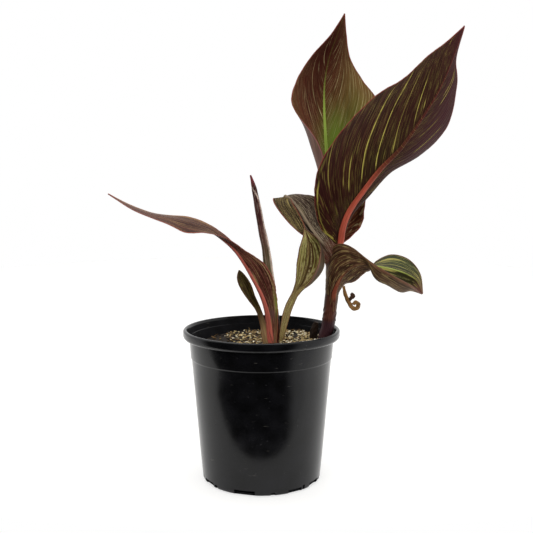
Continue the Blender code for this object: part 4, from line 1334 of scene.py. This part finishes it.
def shoot(name, node, slot, points, finish, relief=None, marks=None, sides=SHOOT_SIDES, ring_gap=1.0,
          squash=1.0):
    """A round shoot through points of (x, y, z, radius) in millimetres. relief gives the extra
    radius from the turn round the shoot and the share along it, and marks gives its colour masks."""
    line = np.array(points, float)
    last = len(points) - 1
    length = walk(line, 200)
    rings = max(int(length / ring_gap), 8)

    start_piece()
    bpy.ops.mesh.primitive_grid_add(x_subdivisions=sides, y_subdivisions=rings, size=1)
    piece = bpy.context.object
    mesh = piece.data
    flat = read_points(mesh)
    turn = (flat[:, 0] + 0.5) * 2 * math.pi
    # The end rings stay in place but close to a point, so that the shoot has flat ends.
    ring = np.round((flat[:, 1] + 0.5) * rings)
    share = np.clip((ring - 1) / (rings - 2), 0, 1)
    at = share * last
    middle = smooth(line, at)
    centre, radius = middle[:, :3], middle[:, 3]
    before, after = np.maximum(at - LOOK_AHEAD, 0), np.minimum(at + LOOK_AHEAD, last)
    ahead = unit((smooth(line, after) - smooth(line, before))[:, :3])
    level = unit(np.cross(ahead, np.tile([0.0, -1.0, 0.0], (len(at), 1))))
    facing = np.cross(level, ahead)
    if relief:
        radius = radius + relief(turn, share)
    radius = np.where((ring == 0) | (ring == rings), 0, radius)
    wide = level * (np.cos(turn) * radius)[:, None]
    deep = facing * (np.sin(turn) * radius * squash)[:, None]
    mesh.vertices.foreach_set("co", ((centre + wide + deep) * MM).ravel())

    values = {key: 0 * share for key in MARKS}
    values.update({"place": share, "edge": 0 * share + NO_EDGE})
    values.update(marks(turn, share) if marks else {})
    write_marks(mesh, values, np.stack([turn * line[:, 3].mean(), share * length], axis=1))
    mesh.materials.append(finish)
    face_outwards(merge=0.01 * MM)
    bpy.ops.object.shade_smooth_by_angle(angle=math.radians(50))
    finish_piece(piece, name, slot, *([node] if node else []))


print("sides of a shoot:", SHOOT_SIDES)

# %% [markdown]
# ## The right stem
# The thick stem of the leafy shoot leans slightly to the right. It is bluish purple below the scar of
# a lost sheath and browner above, and small buds swell over the scar.

# %% Right stem
STEM_RIGHT = [
    (63.8, 0, 126, 5.6),
    (64.8, 0, 138, 6.2),
    (66.0, 0, 147, 6.5),
    (67.2, 0, 153, 6.7),
    (69.8, 0, 161, 6.9),
    (71.5, 0, 172, 7.0),
    (73.2, 0, 190, 6.9),
    (74.8, 0, 205, 6.8),
    (75.6, 0, 222, 6.2),
    (76.4, 0, 238, 5.4),
    (78.0, 0, 254, 4.4),
    (79.0, 1, 264, 3.0),
]
SCAR_PLACE = 0.44


def stem_relief(turn, share):
    """Fine lengthwise ribs, a ring where an old sheath came away, and buds above it."""
    ribs = 0.06 * np.sin(turn * 23) + 0.04 * np.sin(turn * 41 + 2)
    scar = 0.5 * np.exp(-(((share - SCAR_PLACE - 0.01 * np.sin(turn)) / 0.006) ** 2))
    buds = 0.45 * np.exp(-(((share - SCAR_PLACE - 0.045) / 0.02) ** 2)) * np.sin(turn * 5 + share * 160)
    return ribs + scar + buds


def stem_marks(turn, share):
    """Bluish purple below the scar, and brown above it."""
    below_scar = 1 - ease(share, SCAR_PLACE - 0.03, SCAR_PLACE + 0.02)
    return {"purple": below_scar, "green": 0.8 * ease(share, 0.5, 0.62)}


# Stem skin: smooth, firm and a little glossier than the leaves, with faint lengthwise fibres.
stem_skin = leaf_skin(
    "purple_canna_stem",
    "#3A2018", "#5A3226", "#4C3026", "#3E262B", "#7A5244", "#7A4A3C", "#5A3030", "#5A3030",
    pitch=1.2, reach=30, dash=0.2, line_strength=0.25, gloss=0.42, shine=0.22,
)
shoot("stem_right_skin", "stem_right", "stem", STEM_RIGHT, stem_skin, stem_relief, stem_marks)

# %% [markdown]
# ## The left stem
# The young shoot's stem is short and hides among the feet of its leaves, so the same skin with plain
# ribs is enough.

# %% Left stem
STEM_LEFT = [
    (14.0, -9, 118, 4.8),
    (14.0, -9, 134, 5.2),
    (14.0, -9, 147, 5.2),
    (14.4, -9, 166, 4.7),
    (13.6, -9, 182, 4.0),
]
shoot("stem_left_skin", "stem_left", "stem", STEM_LEFT, stem_skin, lambda turn, share: 0.06 * np.sin(turn * 23))

# %% [markdown]
# ## The rolled leaf
# The newest leaf is still rolled up like a scroll, so one edge winds up it as a pale line. A sheet
# could be rolled up turn by turn, but only the outer turn shows. So it is a tube whose radius steps
# down at the outer edge, with a line marked beside the step.

# %% Rolled leaf
SPEAR = [
    (13.4, -9, 182.6, 3.8),
    (11.4, -9, 197, 4.2),
    (8.9, -9, 213, 4.6),
    (6.6, -9, 230, 4.5),
    (4.1, -9, 248, 4.1),
    (0.3, -9, 266, 3.8),
    (-3.1, -9, 285, 3.4),
    (-6.5, -9, 303, 2.9),
    (-8.8, -9, 313.5, 2.0),
    (-11.1, -9, 321.4, 0.6),
]


def round_the_roll(turn, share):
    """How far round the roll a point is from the outer edge, which winds up it."""
    return (turn / (2 * math.pi) - 0.08 - 0.42 * ease(share, 0.7, 0.9)) % 1.0


def scroll(turn, share):
    """The step where the outer turn of the rolled blade lies over the turn below it."""
    return 0.5 * (round_the_roll(turn, share) - 0.5) * (1 - 0.6 * share) + 0.12 * np.sin(share * 40)


def scroll_marks(turn, share):
    """The pale edge of the roll, a red tip and a green foot."""
    away = np.minimum(round_the_roll(turn, share), 1 - round_the_roll(turn, share))
    edge_line, red_tip = np.clip(1.3 - away / 0.05, 0, 1), ease(share, 0.82, 0.93)
    return {"streak": edge_line, "purple": red_tip, "green": 0.9 - 0.9 * ease(share, 0.15, 0.65)}


# Rolled blade: maroon and satiny, with a cream edge, a red tip and a green foot.
spear_skin = leaf_skin(
    "maroon_rolled_leaf",
    "#3E1C1A", "#5E3434", "#6E6A44", "#7A2E36", "#EED6C4", "#A07C70", "#6A3A30", "#7A3A34",
    pitch=0.8, reach=30, dash=0.25, line_strength=0.6, groove_shade_tone=0.5,
)
shoot("rolled_leaf", "leaf_rolled_spear", "bronze_leaf", SPEAR, spear_skin, scroll, scroll_marks, sides=96)

# %% [markdown]
# ## The old stem stub
# Beside the right stem stands what is left of last year's stem: a short dark stub of rotted fibres.
# It is a shoot too, made lumpy by a few waves of different lengths.

# %% Old stem stub
STUB = [
    (55.5, 9.0, 130, 3.8),
    (55.5, 9.0, 146, 4.6),
    (56.5, 8.5, 157, 4.2),
    (58.8, 7.5, 165.5, 2.4),
]


def lumpy(turn, share):
    """Broken fibres and lumps of an old rotted stem."""
    lumps = 0.5 * np.sin(turn * 3 + share * 9) * np.sin(share * 17 + turn)
    return lumps + 0.25 * np.sin(turn * 11 + share * 23) - 0.2


# Rotted fibre: dark, damp and without any shine.
old_fibre = plain_skin("rotted_stem_fibre", "#2A1E16", 0.95)
shoot("old_stub", "old_stem_stub", "dry_husk", STUB, old_fibre, lumpy)

# %% [markdown]
# ## The withered scrap and its flake
# The tip of a dead leaf has dried, curled up and caught at the right stem, with a dark flake of the
# same leaf over it. Cloth could be crumpled for it, but it is only some millimetres wide. So it is a
# flattened shoot that is folded and crinkled by waves, and its end winds into a hard little ring.

# %% Withered scrap
WITHERED_TIP = [
    (85.8, -5.2, 206.0, 1.2),
    (88.0, -6.5, 197, 1.9),
    (91.0, -6.5, 189.5, 2.1),
    (94.5, -7.0, 184.0, 2.2),
    (99.0, -8.0, 182.8, 2.0),
    (101.4, -8.8, 186.8, 1.8),
    (98.2, -9.2, 189.6, 1.5),
    (95.8, -8.8, 187.0, 1.0),
]


def crumpled(turn, share):
    """Lengthwise folds and crinkles, and an end that thickens."""
    folds = 0.35 * np.sin(turn * 3 + share * 14) + 0.25 * np.sin(turn * 5 - share * 37)
    return folds + 0.5 * ease(share, 0.55, 0.8) - 0.1


# Dried leaf: papery tan, darker in uneven patches.
dry_skin = plain_skin("dry_leaf_scrap", "#9A7040", 0.85)
shoot("withered_scrap", "withered_tip", "dry_husk", WITHERED_TIP, dry_skin, crumpled, sides=40, ring_gap=0.25,
      squash=0.7)

# %% [markdown]
# ## The flake
# The flake is too small for a CAD node, so it takes no node's place. It could be a bit of thin sheet,
# but a shoot pressed nearly flat also has a thickness and closed ends.

# %% Flake
FLAKE = [
    (91.6, -6.6, 190.0, 0.5),
    (93.6, -6.8, 193.4, 1.9),
    (95.6, -6.8, 196.0, 2.1),
    (93.4, -6.6, 198.6, 0.8),
]
# A darker, older piece of the same dried leaf.
flake_skin = plain_skin("dark_leaf_flake", "#4A3226", 0.85)
shoot("withered_flake", None, "dry_husk", FLAKE, flake_skin, crumpled, sides=24, ring_gap=0.3, squash=0.3)
